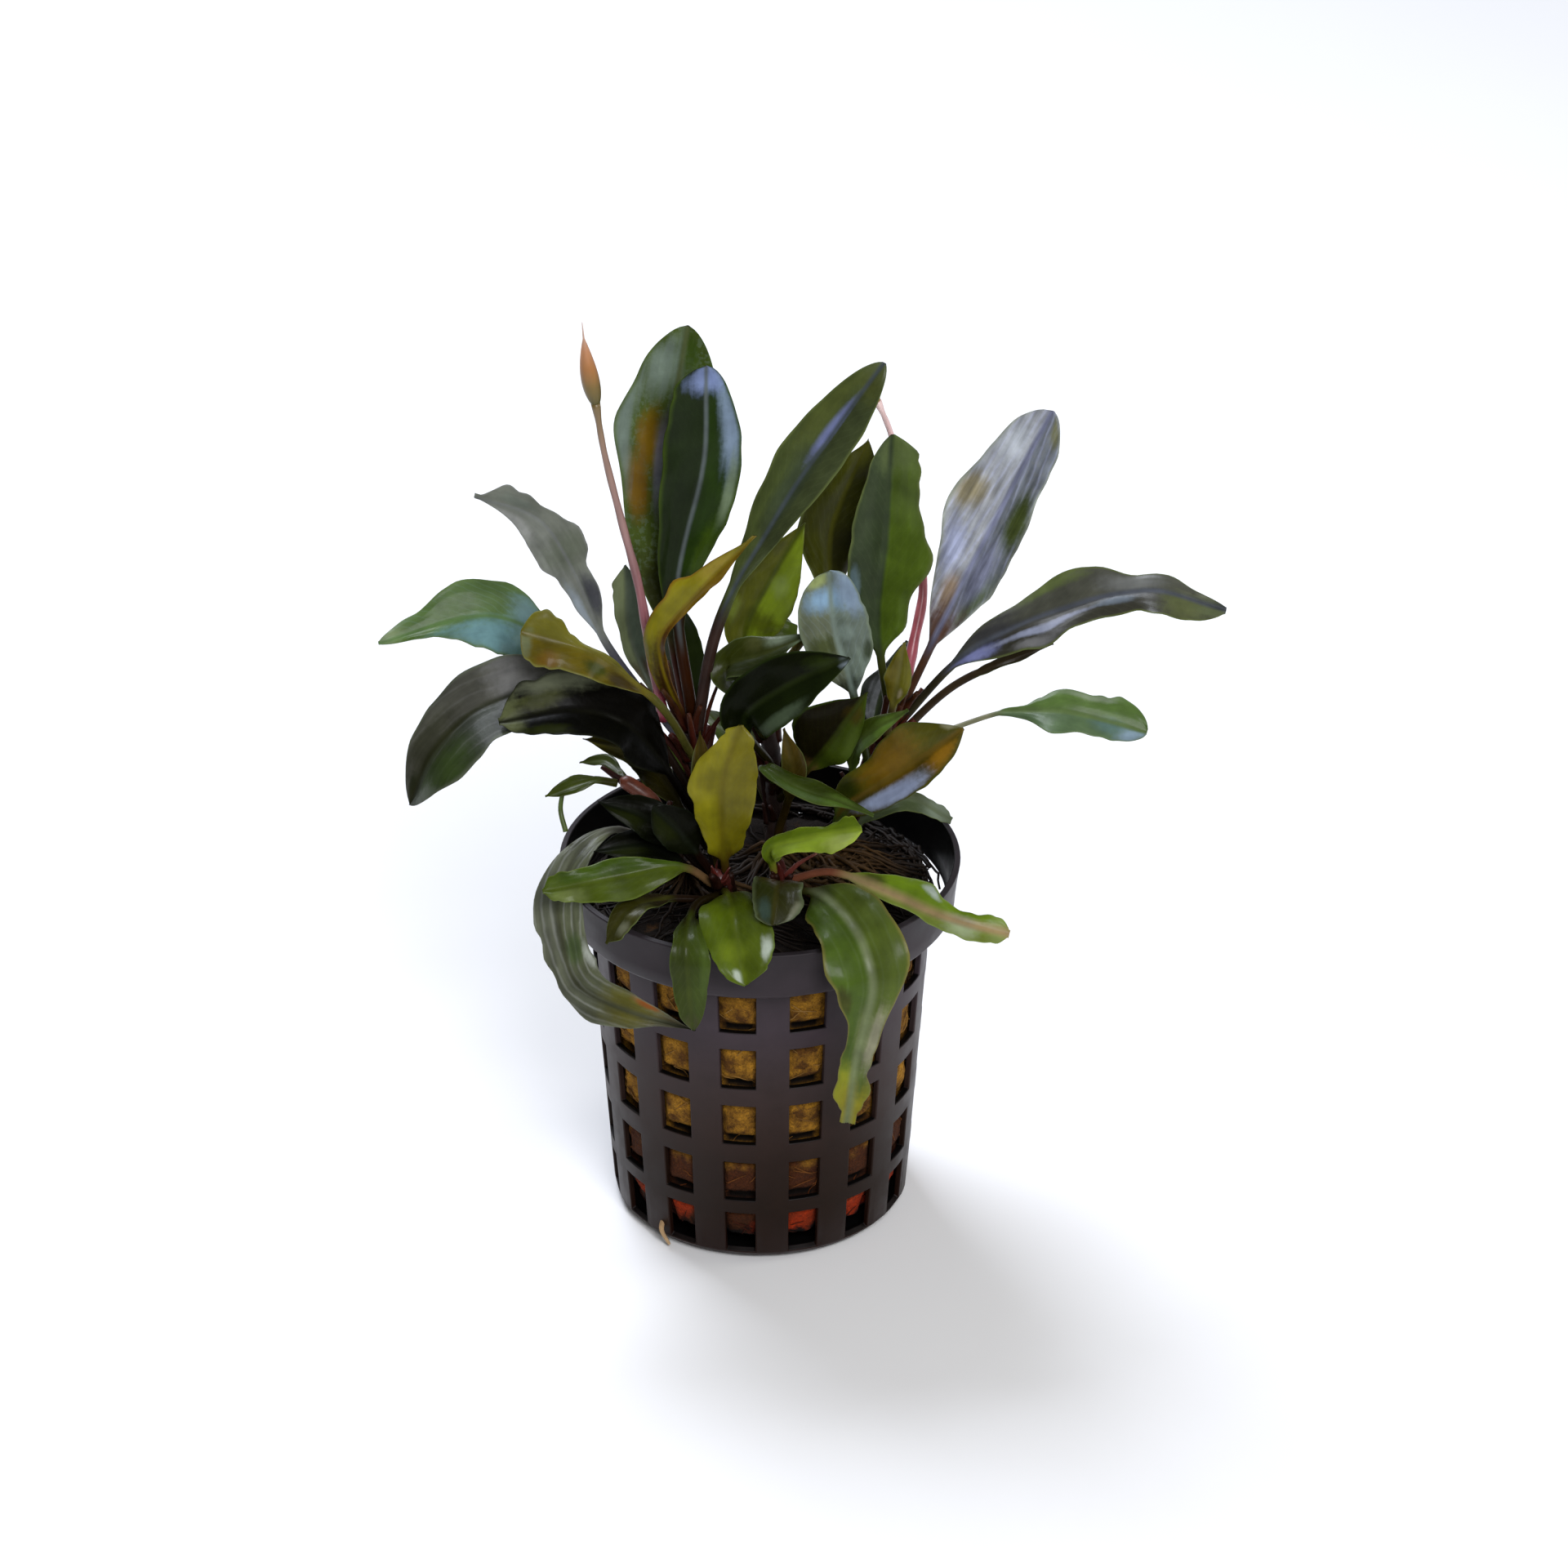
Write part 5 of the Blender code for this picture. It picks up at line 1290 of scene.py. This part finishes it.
@dataclass(frozen=True)
class NetPot:
    """The slotted pot: one moulded wall with a ledge, a rim band and a slotted floor.

    The mesh has the same number of upright lines in each column: in_hole steps over the hole, and
    the rest over the rib beside it.
    """

    name: str = "pot"
    floor_rib: float = 2.0
    floor_slots: tuple[float, float] = (7.5, 14.0)
    floor_radius: float = 17.8
    floor_round: tuple[tuple[float, float], ...] = ((0.7, 0.12), (1.2, 0.5))
    ledge_height: float = 45.0
    ledge_radii: tuple[float, float] = (23.1, 25.2)
    band_radii: tuple[float, float] = (25.6, 26.35)
    band_foot: float = 45.7
    band_rings: int = 4
    edge_round: float = 0.2
    per_column: int = 8
    in_hole: int = 4

    @staticmethod
    def wall_radius(z: float) -> float:
        """Gives the radius of the wall's middle at a height."""
        (low_z, low_radius), (high_z, high_radius) = WALL_LOW, WALL_HIGH
        return low_radius + (high_radius - low_radius) * (z - low_z) / (high_z - low_z)

    def profile(self) -> list[tuple[float, float]]:
        """Draws half a section of the pot.

        Returns:
            Radius and height of the wall's middle, from the floor's middle to the rim.
        """
        half = POT_WALL / 2
        rings = [(radius, half) for radius in (0.6, *self.floor_slots, self.floor_radius)]
        rings += [(self.floor_radius + out, half + up) for out, up in self.floor_round]
        for bottom in HOLE_BOTTOMS:
            rings += [(self.wall_radius(z), z) for z in (bottom, bottom + HOLE_HEIGHT)]
        top = self.ledge_height
        inner, outer = self.ledge_radii
        rings += [(self.wall_radius(top), top - 0.5), (inner, top), (outer, top + 0.2)]
        low, high = self.band_radii
        rise = POT_HEIGHT - self.band_foot
        for k in range(self.band_rings + 1):
            share = k / self.band_rings
            rings.append((low + (high - low) * share**1.3, self.band_foot + rise * share))
        return rings

    def spoke(self, line: int, radius: float, height: float) -> float:
        """Gives where an upright line of the mesh stands.

        Args:
            line: Its number, from the first hole on.
            radius: Radius of the ring that it crosses.
            height: Height of that ring.

        Returns:
            Degrees from the front.
        """
        column, part = divmod(line, self.per_column)
        on_floor = height < 0.6 and radius < self.floor_radius - 0.1
        rib = self.floor_rib if on_floor else RIB_WIDTH
        half_hole = max(3.0, PITCH / 2 - math.degrees(rib / 2 / max(radius, 1.0)))
        if part <= self.in_hole:
            off = -half_hole + 2 * half_hole * part / self.in_hole
        else:
            off = half_hole + (PITCH - 2 * half_hole) * (part - self.in_hole) / (self.per_column - self.in_hole)
        return FIRST_COLUMN + column * PITCH + off

    def is_open(self, line: int, inner: tuple[float, float], outer: tuple[float, float]) -> bool:
        """Tells whether a patch of wall is cut away.

        Args:
            line: The upright line that it starts from.
            inner: Radius and height of the ring before it.
            outer: Radius and height of the ring after it.

        Returns:
            True in the slots and holes.
        """
        column, part = divmod(line, self.per_column)
        in_hole = part < self.in_hole
        height = (inner[1] + outer[1]) / 2
        radius = (inner[0] + outer[0]) / 2
        if height < 0.5:
            return in_hole and self.floor_slots[0] < radius < self.floor_slots[1]
        if self.ledge_radii[0] < radius < self.ledge_radii[1] and abs(height - self.ledge_height) < 0.3:
            # A slot in the ledge is two columns long, with the rib between them cut away too
            return column % 3 != 0 if in_hole else column % 3 == 1
        return in_hole and any(z < height < z + HOLE_HEIGHT for z in HOLE_BOTTOMS)

    def build(self) -> None:
        """Makes the open wall and thickens it, with soft moulded edges."""
        profile = self.profile()
        lines = self.per_column * POT_COLUMNS
        bm = bmesh.new()
        rings = [
            [bm.verts.new(round_axis(self.spoke(j, radius, z), radius * MM, z * MM)) for j in range(lines)]
            for radius, z in profile
        ]
        bm.faces.new(rings[0])
        for k, (low, high) in enumerate(zip(rings, rings[1:])):
            for j in range(lines):
                if not self.is_open(j, profile[k], profile[k + 1]):
                    after = (j + 1) % lines
                    bm.faces.new((low[j], low[after], high[after], high[j]))
        pot = make_piece(self.name, bm, MOULDED_PP.build(), (self.name,))
        wall = pot.modifiers.new("wall", "SOLIDIFY")
        wall.thickness = POT_WALL * MM
        wall.offset = 0.0
        wall.use_even_offset = True
        edges = pot.modifiers.new("edges", "BEVEL")
        edges.width = self.edge_round * MM
        edges.segments = 2
        edges.limit_method = "ANGLE"
        edges.angle_limit = math.radians(40.0)
        edges.harden_normals = True


@dataclass(frozen=True)
class WoolFelt:
    """Mineral wool: spun stone fibre pressed to a block, matt, stained brown and rust by water from the
    bottom up. The black at its foot is painted shade, and its near black top is dark roots and painted
    shade under the leaves.

    lump_mm, thread_mm and blot_mm are the sizes of its lumps, threads and rust stains. Real threads
    are about 0.01 mm thick, too fine to show, and are drawn as coarse as they need to be. drift_mm is
    how far the lumps shift the heights at which the stains begin and end.
    """

    name: str = "mineral_wool_spun_wet"
    light: str = "#95691c"
    dark: str = "#4c2f0c"
    low: str = "#3d1d08"
    rust: str = "#962c08"
    black: str = "#0c0603"
    top: str = "#130c07"
    lump_mm: float = 1.0 / 0.42
    thread_mm: float = 1.0 / 2.6
    blot_mm: float = 1.0 / 0.09
    drift_mm: float = 6.0

    def build(self) -> Material:
        """Makes the finish.

        Returns:
            The material.
        """
        material, tree = new_material(self.name, IOR=1.5, Roughness=0.95, Specular_IOR_Level=0.2)
        where = add_node(tree, "TexCoord")["Object"]
        height = add_node(tree, "SeparateXYZ", (where,))[2]
        lumps, threads, blots = (
            add_node(
                tree, "TexNoise",
                {"Vector": where, "Scale": 1.0 / (size * MM), "Detail": detail, "Distortion": distortion},
            )[0]
            for size, detail, distortion in (
                (self.lump_mm, 4.0, 0.0), (self.thread_mm, 4.0, 1.2), (self.blot_mm, 2.0, 0.0)
            )
        )
        drift = add_node(tree, "Math", (lumps, self.drift_mm * MM, height), operation="MULTIPLY_ADD")[0]
        stains, _ = lay_over(tree, self.low, self.rust, blots, (0.44, 0.56, 0.0, 1.0))
        colour, _ = lay_over(tree, self.dark, self.light, lumps, (0.38, 0.62, 0.0, 1.0))
        # The foot of the wool is brown, then rusty, then black as painted shade, and its top is near black
        # for dark roots and painted shade under the leaves
        for low, high, first, last, above in (
            (17.0, 22.0, 1.0, 0.0, self.low),
            (8.5, 12.5, 1.0, 0.0, stains),
            (6.6, 8.2, 1.0, 0.0, self.black),
            (47.0, 49.0, 0.0, 1.0, self.top),
        ):
            colour, _ = lay_over(tree, colour, above, drift, (low * MM, high * MM, first, last), Fade.SOFT)
        # Painted shade at the holes' lower edges, where the wool is tucked in
        colour, _ = lay_over(tree, colour, self.black, add_node(tree, "Attribute", attribute_name=SHADE)["Fac"])
        tone = add_node(tree, "MapRange", (threads, 0.3, 0.7, 0.55, 1.45))[0]
        relief = add_node(tree, "Math", (threads, 0.5, lumps), operation="MULTIPLY_ADD")[0]
        link_shader(tree, colour, tone, relief, (1.0, 0.4))
        return material


@dataclass(frozen=True)
class WoolPlug:
    """The plug of mineral wool, which bulges into the pot's holes, with its loose fibres.

    corners are radii with their heights. lines, side_rows and top_rows are how finely it is divided.
    """

    name: str = "mineral_wool"
    corners: tuple[tuple[float, float], ...] = ((14.0, 1.2), (17.8, 3.4), (19.1, 7.5), (21.5, WOOL_TOP))
    mean_radius: float = 20.0
    bulge: float = 0.75
    tucked: float = 0.5
    lines: int = 240
    side_rows: int = 130
    top_rows: int = 26
    fibres: int = 460
    fibre_radii: tuple[float, ...] = (0.05, 0.07, 0.08, 0.08, 0.08, 0.06, 0.04)

    def radius(self, z: float) -> float:
        """Reads the plug's side.

        Args:
            z: Height.

        Returns:
            Its radius there.
        """
        for (low_r, low_z), (high_r, high_z) in zip(self.corners, self.corners[1:]):
            if z <= high_z:
                return low_r + (high_r - low_r) * max(0.0, z - low_z) / (high_z - low_z)
        return self.corners[-1][0]

    def surface(self, turn: float, z: float) -> tuple[float, float]:
        """Gives the radius with lumps and bulges, and how far the wool is tucked under a hole's edge.

        Args:
            turn: Degrees from the front, positive to the right.
            z: Height.

        Returns:
            Radius in millimetres, and the shade from 0 to 1.
        """
        # Across is 1 in the middle of a column of holes and 0 behind a rib
        off = (turn - FIRST_COLUMN + PITCH / 2) % PITCH - PITCH / 2
        across = 1.0 - smoothstep(4.5, 7.5, abs(off))
        push = 0.0
        tuck = 0.0
        for bottom in HOLE_BOTTOMS:
            rise = smoothstep(bottom + 0.1, bottom + 1.8, z) * (1.0 - smoothstep(bottom + 5.0, bottom + 6.6, z))
            push = max(push, rise)
            tuck = max(tuck, 1.0 - smoothstep(0.3, 1.1, abs(z - bottom + 0.1)))
        # The surface's lumps, read on the plug's side laid flat
        spot = Vector((math.radians(turn) * self.mean_radius, z, 3.0))
        lump = 0.28 * noise.noise(spot * 0.45) + 0.16 * noise.noise(spot * 1.3)
        return self.radius(z) + lump + push * across * self.bulge - tuck * across * self.tucked, tuck * across

    def build(self) -> None:
        """Makes the plug's skin, closed over its top and underside."""
        bm = bmesh.new()
        shade = bm.verts.layers.float.new(SHADE)
        foot = self.corners[0][1]
        rings = []
        for k in range(self.side_rows + 1):
            z = foot + (WOOL_TOP - foot) * k / self.side_rows
            ring = []
            for j in range(self.lines):
                turn = 360.0 * j / self.lines
                radius, tuck = self.surface(turn, z)
                vert = bm.verts.new(round_axis(turn, radius * MM, z * MM))
                vert[shade] = tuck
                ring.append(vert)
            rings.append(ring)
        edge = rings[-1]
        for k in range(1, self.top_rows):
            ring = []
            for vert in edge:
                x, y = vert.co.xy * (1.0 - k / self.top_rows)
                lift = 0.9 * noise.noise(Vector((x, y, 0.0)) * 320.0)
                lift += 0.5 * noise.noise(Vector((x, y, 1.0)) * 900.0)
                ring.append(bm.verts.new((x, y, (WOOL_TOP + lift * min(1.0, k / 3)) * MM)))
            rings.append(ring)
        join_rings(bm, rings)
        make_piece(self.name, bm, WoolFelt().build(), (self.name,))

    def build_fibres(self) -> None:
        """Lays loose fibres over the plug's side, where the holes show it."""
        rng = random.Random(SEED)
        bm = bmesh.new()
        last = len(self.fibre_radii) - 1
        for _ in range(self.fibres):
            turn = rng.uniform(0.0, 360.0)
            z = rng.uniform(3.0, WOOL_TOP - 1.5)
            lean = rng.uniform(-1.2, 1.2)
            span = rng.uniform(1.5, 4.0)
            line = []
            for k in range(last + 1):
                share = k / last - 0.5
                here = turn + math.degrees(math.cos(lean) * span * share / self.mean_radius)
                up = min(WOOL_TOP - 0.4, max(2.2, z + math.sin(lean) * span * share))
                radius = self.surface(here, up)[0] + 0.05 + 0.1 * rng.random()
                line.append(Vector(round_axis(here, radius, up)))
            add_tube(bm, line, self.fibre_radii, 5)
        make_piece("wool_fibres", bm, FIBRE_SKIN.build())


@dataclass(frozen=True)
class RootMat:
    """Roots and old leaf bases that lie over the wool, from the feet of the rhizomes outwards.

    inner_radius is that of the pot's wall at the wool. count roots lie on the wool, heaped up round
    heap, which is x, y and height, to the widths heap_size. on_ledge ones lie in the gap round the
    wool and on the pot's ledge, and start within ledge_arc, in radians from the right round the back.
    """

    feet: tuple[Point, ...] = (
        (-5, 1, 47.5), (8, 3, 47.6), (-4, -8, 47.5), (2.5, -7, 47.5), (2, 5, 47.3), (-10, -2, 47.3),
    )
    inner_radius: float = 22.4
    count: int = 380
    heap: Point = (12.0, -1.0, 4.6)
    heap_size: tuple[float, float] = (7.5, 10.0)
    on_ledge: int = 230
    ledge_arc: tuple[float, float] = (0.1, 4.1)
    steps: int = 11
    ledge_steps: int = 9

    def mound(self, x: float, y: float) -> float:
        """Gives how high the roots are heaped up over the wool."""
        (middle_x, middle_y, height), (wide, deep) = self.heap, self.heap_size
        return height * math.exp(-(((x - middle_x) / wide) ** 2) - ((y - middle_y) / deep) ** 2)

    def build(self) -> None:
        """Makes every root as a tube. Most of them lie to the right, as in the photograph."""
        rng = random.Random(SEED + 1)
        bm = bmesh.new()
        for k in range(self.count):
            foot = Vector(self.feet[k % len(self.feet)])
            to_right = k % 3 == 0
            if to_right:
                foot = Vector((rng.uniform(2.0, 10.0), rng.uniform(-7.0, 6.0), 48.0))
            outward = Vector((0.9 if to_right else rng.uniform(-1, 1), rng.uniform(-1, 1), 0.0)).normalized()
            bend = Vector((-outward.y, outward.x, 0.0)) * rng.uniform(-0.6, 0.6)
            reach = rng.uniform(5.0, 17.0)
            start = foot + Vector((0, 0, rng.uniform(0.2, 4.0)))
            rise = rng.uniform(0.3, 2.6)
            layer = rng.random()
            line = []
            for j in range(self.steps + 1):
                share = j / self.steps
                spot = start + (outward + bend * share) * reach * share
                limit = self.inner_radius / max(self.inner_radius, Vector(spot.xy).length)
                rest = 47.0 + rise * (1.0 - share) + layer * self.mound(spot.x, spot.y)
                height = start.z + (rest - start.z) * smoothstep(0.0, 0.5, share)
                sway = 1.1 * noise.noise(Vector((k * 3.1, share * 4.0, 0.0)))
                line.append(Vector((spot.x * limit + sway, spot.y * limit - sway, height + 0.6 * abs(sway))))
            width = rng.uniform(0.12, 0.46)
            add_tube(bm, line, taper(width, 0.4 * width, len(line)), 7)
        for _ in range(self.on_ledge):
            turn, sweep = rng.uniform(*self.ledge_arc), rng.uniform(-0.6, 0.6)
            radius = rng.uniform(20.4, 24.5)
            height = rng.uniform(46.3, 47.6) if radius < self.inner_radius else rng.uniform(45.9, 46.4)
            line = []
            for j in range(self.ledge_steps + 1):
                angle = turn + sweep * j / self.ledge_steps
                wander = 0.35 * noise.noise(Vector((turn * 9.0, j * 0.6, radius)))
                reach = radius + wander
                line.append(Vector((reach * math.cos(angle), reach * math.sin(angle), height + wander)))
            add_tube(bm, line, [rng.uniform(0.16, 0.4)] * len(line), 6)
        make_piece("roots", bm, ROOT_SKIN.build())


@dataclass(frozen=True)
class StalkStubs:
    """Stubs of old leaf stalks, with the shrunken sheaths they leave on the rhizomes.

    A stem that ends above tall_from has on_tall of them, up to longest, and a low one on_low ones,
    shorter by low_scale.
    """

    on_tall: int = 24
    on_low: int = 5
    longest: float = 12.0
    low_scale: float = 0.4
    tall_from: float = 66.0
    steps: int = 7

    def build(self) -> None:
        """Makes the stubs as bent tapering tubes that lean out of the upper part of each stem."""
        rng = random.Random(SEED + 2)
        bm = bmesh.new()
        for stem in STEMS.values():
            tall = stem.points[-1][2] > self.tall_from
            for _ in range(self.on_tall if tall else self.on_low):
                share = rng.uniform(0.25, 1.0)
                centre, direction = stem.centre(share)
                turn = rng.uniform(0.0, math.tau)
                out = Vector((math.cos(turn), math.sin(turn), 0.0))
                reach = rng.uniform(2.5, self.longest) * (1.0 if tall else self.low_scale)
                lean = rng.uniform(0.15, 0.5)
                line = []
                for k in range(self.steps + 1):
                    part = k / self.steps
                    bow = out * (0.7 * stem.radius + lean * reach * part**1.4)
                    line.append(centre + bow + direction * reach * (1.0 - lean * 0.5) * part)
                thick = rng.uniform(0.4, 0.95)
                add_tube(bm, line, taper(thick, 0.45 * thick, len(line)), 9)
        make_piece("stalk_stubs", bm, STUB_SKIN.build())


@dataclass(frozen=True)
class Strand:
    """A thin grown thread, such as a young shoot, that is a smooth tapering tube."""

    name: str
    points: tuple[Point, ...]
    radii: tuple[float, float]
    skin: GradedSkin
    slot: Slot

    def build(self) -> None:
        """Makes the tube."""
        line = smooth_line([Vector(point) for point in self.points], 6)
        bm = bmesh.new()
        add_tube(bm, line, taper(*self.radii, len(line)), 10)
        make_piece(self.name, bm, self.skin.build())


@dataclass(frozen=True)
class CrownSheath:
    """The pointed red scales that stand round the growing tip of a rhizome.

    Each scale has its turn in degrees, how far its point leans out, and its height.
    """

    name: str
    tip: Point
    scales: tuple[tuple[float, float, float], ...]
    half: float = 0.75
    steps: int = 8
    sides: int = 12

    def build(self) -> None:
        """Makes each scale as a hollow-backed pointed blade."""
        bm = bmesh.new()
        for turn, lean, height in self.scales:
            out = Vector(round_axis(turn, 1.0, 0.0))
            side = Vector((-out.y, out.x, 0.0))
            rings = []
            for k in range(self.steps + 1):
                share = k / self.steps
                rise = Vector((0, 0, -1.4 + height * share))
                middle = Vector(self.tip) + out * (0.9 + lean * share**1.6) + rise
                half = self.half * (1.0 - share**1.8) ** 0.8 + 0.04
                ring = []
                for j in range(self.sides):
                    around = math.tau * j / self.sides
                    x = math.cos(around)
                    depth = math.sin(around) * 0.16 - 0.35 * x * x * (1.0 - share)
                    ring.append(bm.verts.new((middle + side * half * x + out * depth) * MM))
                rings.append(ring)
            join_rings(bm, rings)
        make_piece(self.name, bm, CROWN_BARK.build())


@dataclass(frozen=True)
class Flower:
    """A flower stalk with its closed bud, a spathe rolled to a point.

    radii are the stalk's at its foot and end, and length and girth the bud's length and greatest
    radius.
    """

    stalk: str
    bud: str
    points: tuple[Point, ...]
    radii: tuple[float, float]
    length: float
    girth: float
    stalk_skin: GradedSkin
    bud_skin: GradedSkin
    steps: int = 40
    sides: int = 28

    def build(self) -> None:
        """Makes the stalk, and the bud in line with its end."""
        line = smooth_line([Vector(point) for point in self.points], 10)
        last = len(line) - 1
        radii = [
            radius * (1.0 + 0.06 * math.sin(k * 0.9)) + 0.25 * smoothstep(0.9, 1.0, k / last)
            for k, radius in enumerate(taper(*self.radii, len(line)))
        ]
        bm = bmesh.new()
        add_tube(bm, line, radii, 16)
        make_piece(self.stalk, bm, self.stalk_skin.build(), (self.stalk,))
        self.build_bud(line)

    def build_bud(self, line: list[Vector]) -> None:
        """Lofts the spathe, with the free edge that winds round it.

        Args:
            line: The stalk's middle line.
        """
        direction = (line[-1] - line[-5]).normalized()
        normal = direction.cross(Vector((0.0, 1.0, 0.0))).normalized()
        side = direction.cross(normal)
        bm = bmesh.new()
        rings = []
        for k in range(self.steps + 1):
            share = k / self.steps
            # The bud swells in its lower part and is drawn out to a thin point
            swell = math.sin(math.pi * min(1.0, share * 1.12 + 0.06) ** 0.72) ** 0.9 if share < 0.83 else 0.0
            half = self.girth * max(0.2 * (1.0 - share) ** 0.7 + 0.05, swell)
            bow = 0.25 * math.sin(math.pi * share)
            centre = line[-1] + direction * (self.length * share - 0.2) + normal * bow
            ring = []
            for j in range(self.sides):
                turn = math.tau * j / self.sides
                wind = (turn + share * 2.4) % math.tau
                seam = 0.1 * (wind / math.tau) if swell > 0.2 else 0.0
                spoke = normal * math.cos(turn) + side * math.sin(turn)
                ring.append(bm.verts.new((centre + spoke * half * (0.94 + seam)) * MM))
            rings.append(ring)
        join_rings(bm, rings)
        make_piece(self.bud, bm, self.bud_skin.build(), (self.bud,))


FLOWERS = (
    Flower(
        "flower_stalk_left", "flower_bud_left",
        ((-12.6, 0.5, 72), (-14.2, 0, 82), (-15.6, -0.5, 92), (-17.6, -2, 102), (-19.7, -3, 112.5),
         (-20.7, -3, 119.5)),
        (0.75, 0.35), 11.4, 1.2, STALK_SKIN, SPATHE_SKIN,
    ),
    Flower(
        "flower_stalk_right", "flower_bud_right",
        ((19.2, 5.2, 74.3), (20.2, 7.5, 79), (21.6, 12, 86), (19.6, 15, 97.5), (17.1, 15, 107),
         (15.4, 15, 111.4)),
        (0.85, 0.3), 3.9, 0.7, FAR_STALK_SKIN, FAR_SPATHE_SKIN,
    ),
)

STRANDS = (
    Strand("crown_twig", ((3.4, -10.6, 54.6), (5.0, -11.6, 57.0), (7.4, -12.6, 59.2)), (0.42, 0.16),
           TWIG_SKIN, Slot.STALK),
    Strand("green_thread", ((-26.0, -3.4, 63.3), (-26.3, -3.9, 60.8), (-25.6, -5.4, 58.4)), (0.3, 0.36),
           STRAND_SKIN, Slot.GREEN),
    Strand("wool_sliver", ((-12.4, -13.9, 4.2), (-13.4, -15.7, 2.6), (-12.3, -16.6, 0.5)), (0.5, 0.2),
           SLIVER_SKIN, Slot.WOOL),
)

SHEATHS = (
    CrownSheath("crown_sheath_left", (-5.4, -11, 55.5), ((-40, 0.5, 3.0), (60, 0.8, 2.6), (170, 0.4, 3.4))),
    CrownSheath("crown_sheath_right", (2.9, -10, 54.8), ((-20, 0.4, 3.6), (70, 1.0, 3.2), (180, 0.3, 3.0))),
)

# Stems whose bark isn't the old brown one
BARKS = {"stem_front_left": CROWN_BARK, "stem_front_right": CROWN_BARK, "stem_side": AMBER_BARK}


@dataclass(frozen=True)
class Lamp:
    """A square soft light: its name, place and side in metres, power in watts and colour."""

    name: str
    place: Point
    side: float
    watts: float
    colour: str


@dataclass(frozen=True)
class Studio:
    """Camera at the photograph's angle, soft lights and a plain pale floor."""

    target: Point = (3.2, 0.0, 62.6)
    elevation: float = 29.0
    distance: float = 700.0
    lens: float = 121.3
    aim: Point = (0.0, 0.0, 0.07)
    floor_side: float = 8.0
    sky: float = 0.2
    lamps: tuple[Lamp, ...] = (
        Lamp("window", (-0.25, 0.42, 0.7), 0.36, 6.4, "#eef3ff"),
        Lamp("front", (0.2, -0.75, 0.7), 0.4, 7.0, "#fbfbff"),
        Lamp("side", (0.75, 0.05, 0.4), 0.3, 1.2, "#fffdfa"),
    )

    def add_camera(self) -> None:
        """Adds the camera and makes it the scene's."""
        camera = bpy.data.cameras.new("camera")
        camera.sensor_width = 36.0
        camera.lens = self.lens
        camera.clip_end = 20.0
        rig = bpy.data.objects.new("camera", camera)
        lift = math.radians(self.elevation)
        back = Vector((0.0, -math.cos(lift), math.sin(lift))) * self.distance
        rig.location = (Vector(self.target) + back) * MM
        rig.rotation_euler = (math.pi / 2 - lift, 0.0, 0.0)
        bpy.context.scene.collection.objects.link(rig)
        bpy.context.scene.camera = rig

    def add_floor(self) -> None:
        """Adds the floor, a matt painted board with a very faint unevenness."""
        bpy.ops.mesh.primitive_grid_add(x_subdivisions=4, y_subdivisions=4, size=self.floor_side)
        floor = bpy.context.object
        floor.name = "floor"
        material, tree = new_material(
            "floor_paint_matt_white", IOR=1.45, Specular_IOR_Level=0.2, Roughness=0.85
        )
        where = add_node(tree, "TexCoord")["Object"]
        grain = add_node(tree, "TexNoise", {"Vector": where, "Scale": 9.0, "Detail": 3.0})[0]
        colour, _ = lay_over(tree, "#f1f1f1", "#f6f6f5", grain)
        tree.links.new(colour, tree.nodes["Principled BSDF"].inputs["Base Color"])
        floor.data.materials.append(material)

    def add_lamps(self) -> None:
        """Adds the soft lights, which all face the plant."""
        for lamp in self.lamps:
            light = bpy.data.lights.new(lamp.name, "AREA")
            light.size = lamp.side
            light.energy = lamp.watts
            light.color = linear(lamp.colour)[:3]
            rig = bpy.data.objects.new(lamp.name, light)
            rig.location = lamp.place
            rig.rotation_euler = (Vector(self.aim) - Vector(lamp.place)).to_track_quat("-Z", "Y").to_euler()
            bpy.context.scene.collection.objects.link(rig)

    def build(self) -> None:
        """Sets up the whole studio."""
        scene = bpy.context.scene
        scene.view_settings.view_transform = "Standard"
        world = bpy.data.worlds.new("studio")
        world.use_nodes = True
        backdrop = world.node_tree.nodes["Background"]
        backdrop.inputs["Color"].default_value = linear("#ffffff")
        backdrop.inputs["Strength"].default_value = self.sky
        scene.world = world
        self.add_camera()
        self.add_floor()
        self.add_lamps()


def main() -> None:
    """Builds the plant, piece by piece, and its studio."""
    logging.basicConfig(level=logging.INFO, format="%(message)s")
    Studio().build()
    NetPot().build()
    plug = WoolPlug()
    plug.build()
    plug.build_fibres()
    RootMat().build()
    StalkStubs().build()
    for stem in STEMS.values():
        stem.build(BARKS.get(stem.name, OLD_BARK))
    for part in (*FLOWERS, *LEAVES, *STRANDS, *SHEATHS):
        part.build()


if __name__ == "__main__":
    main()
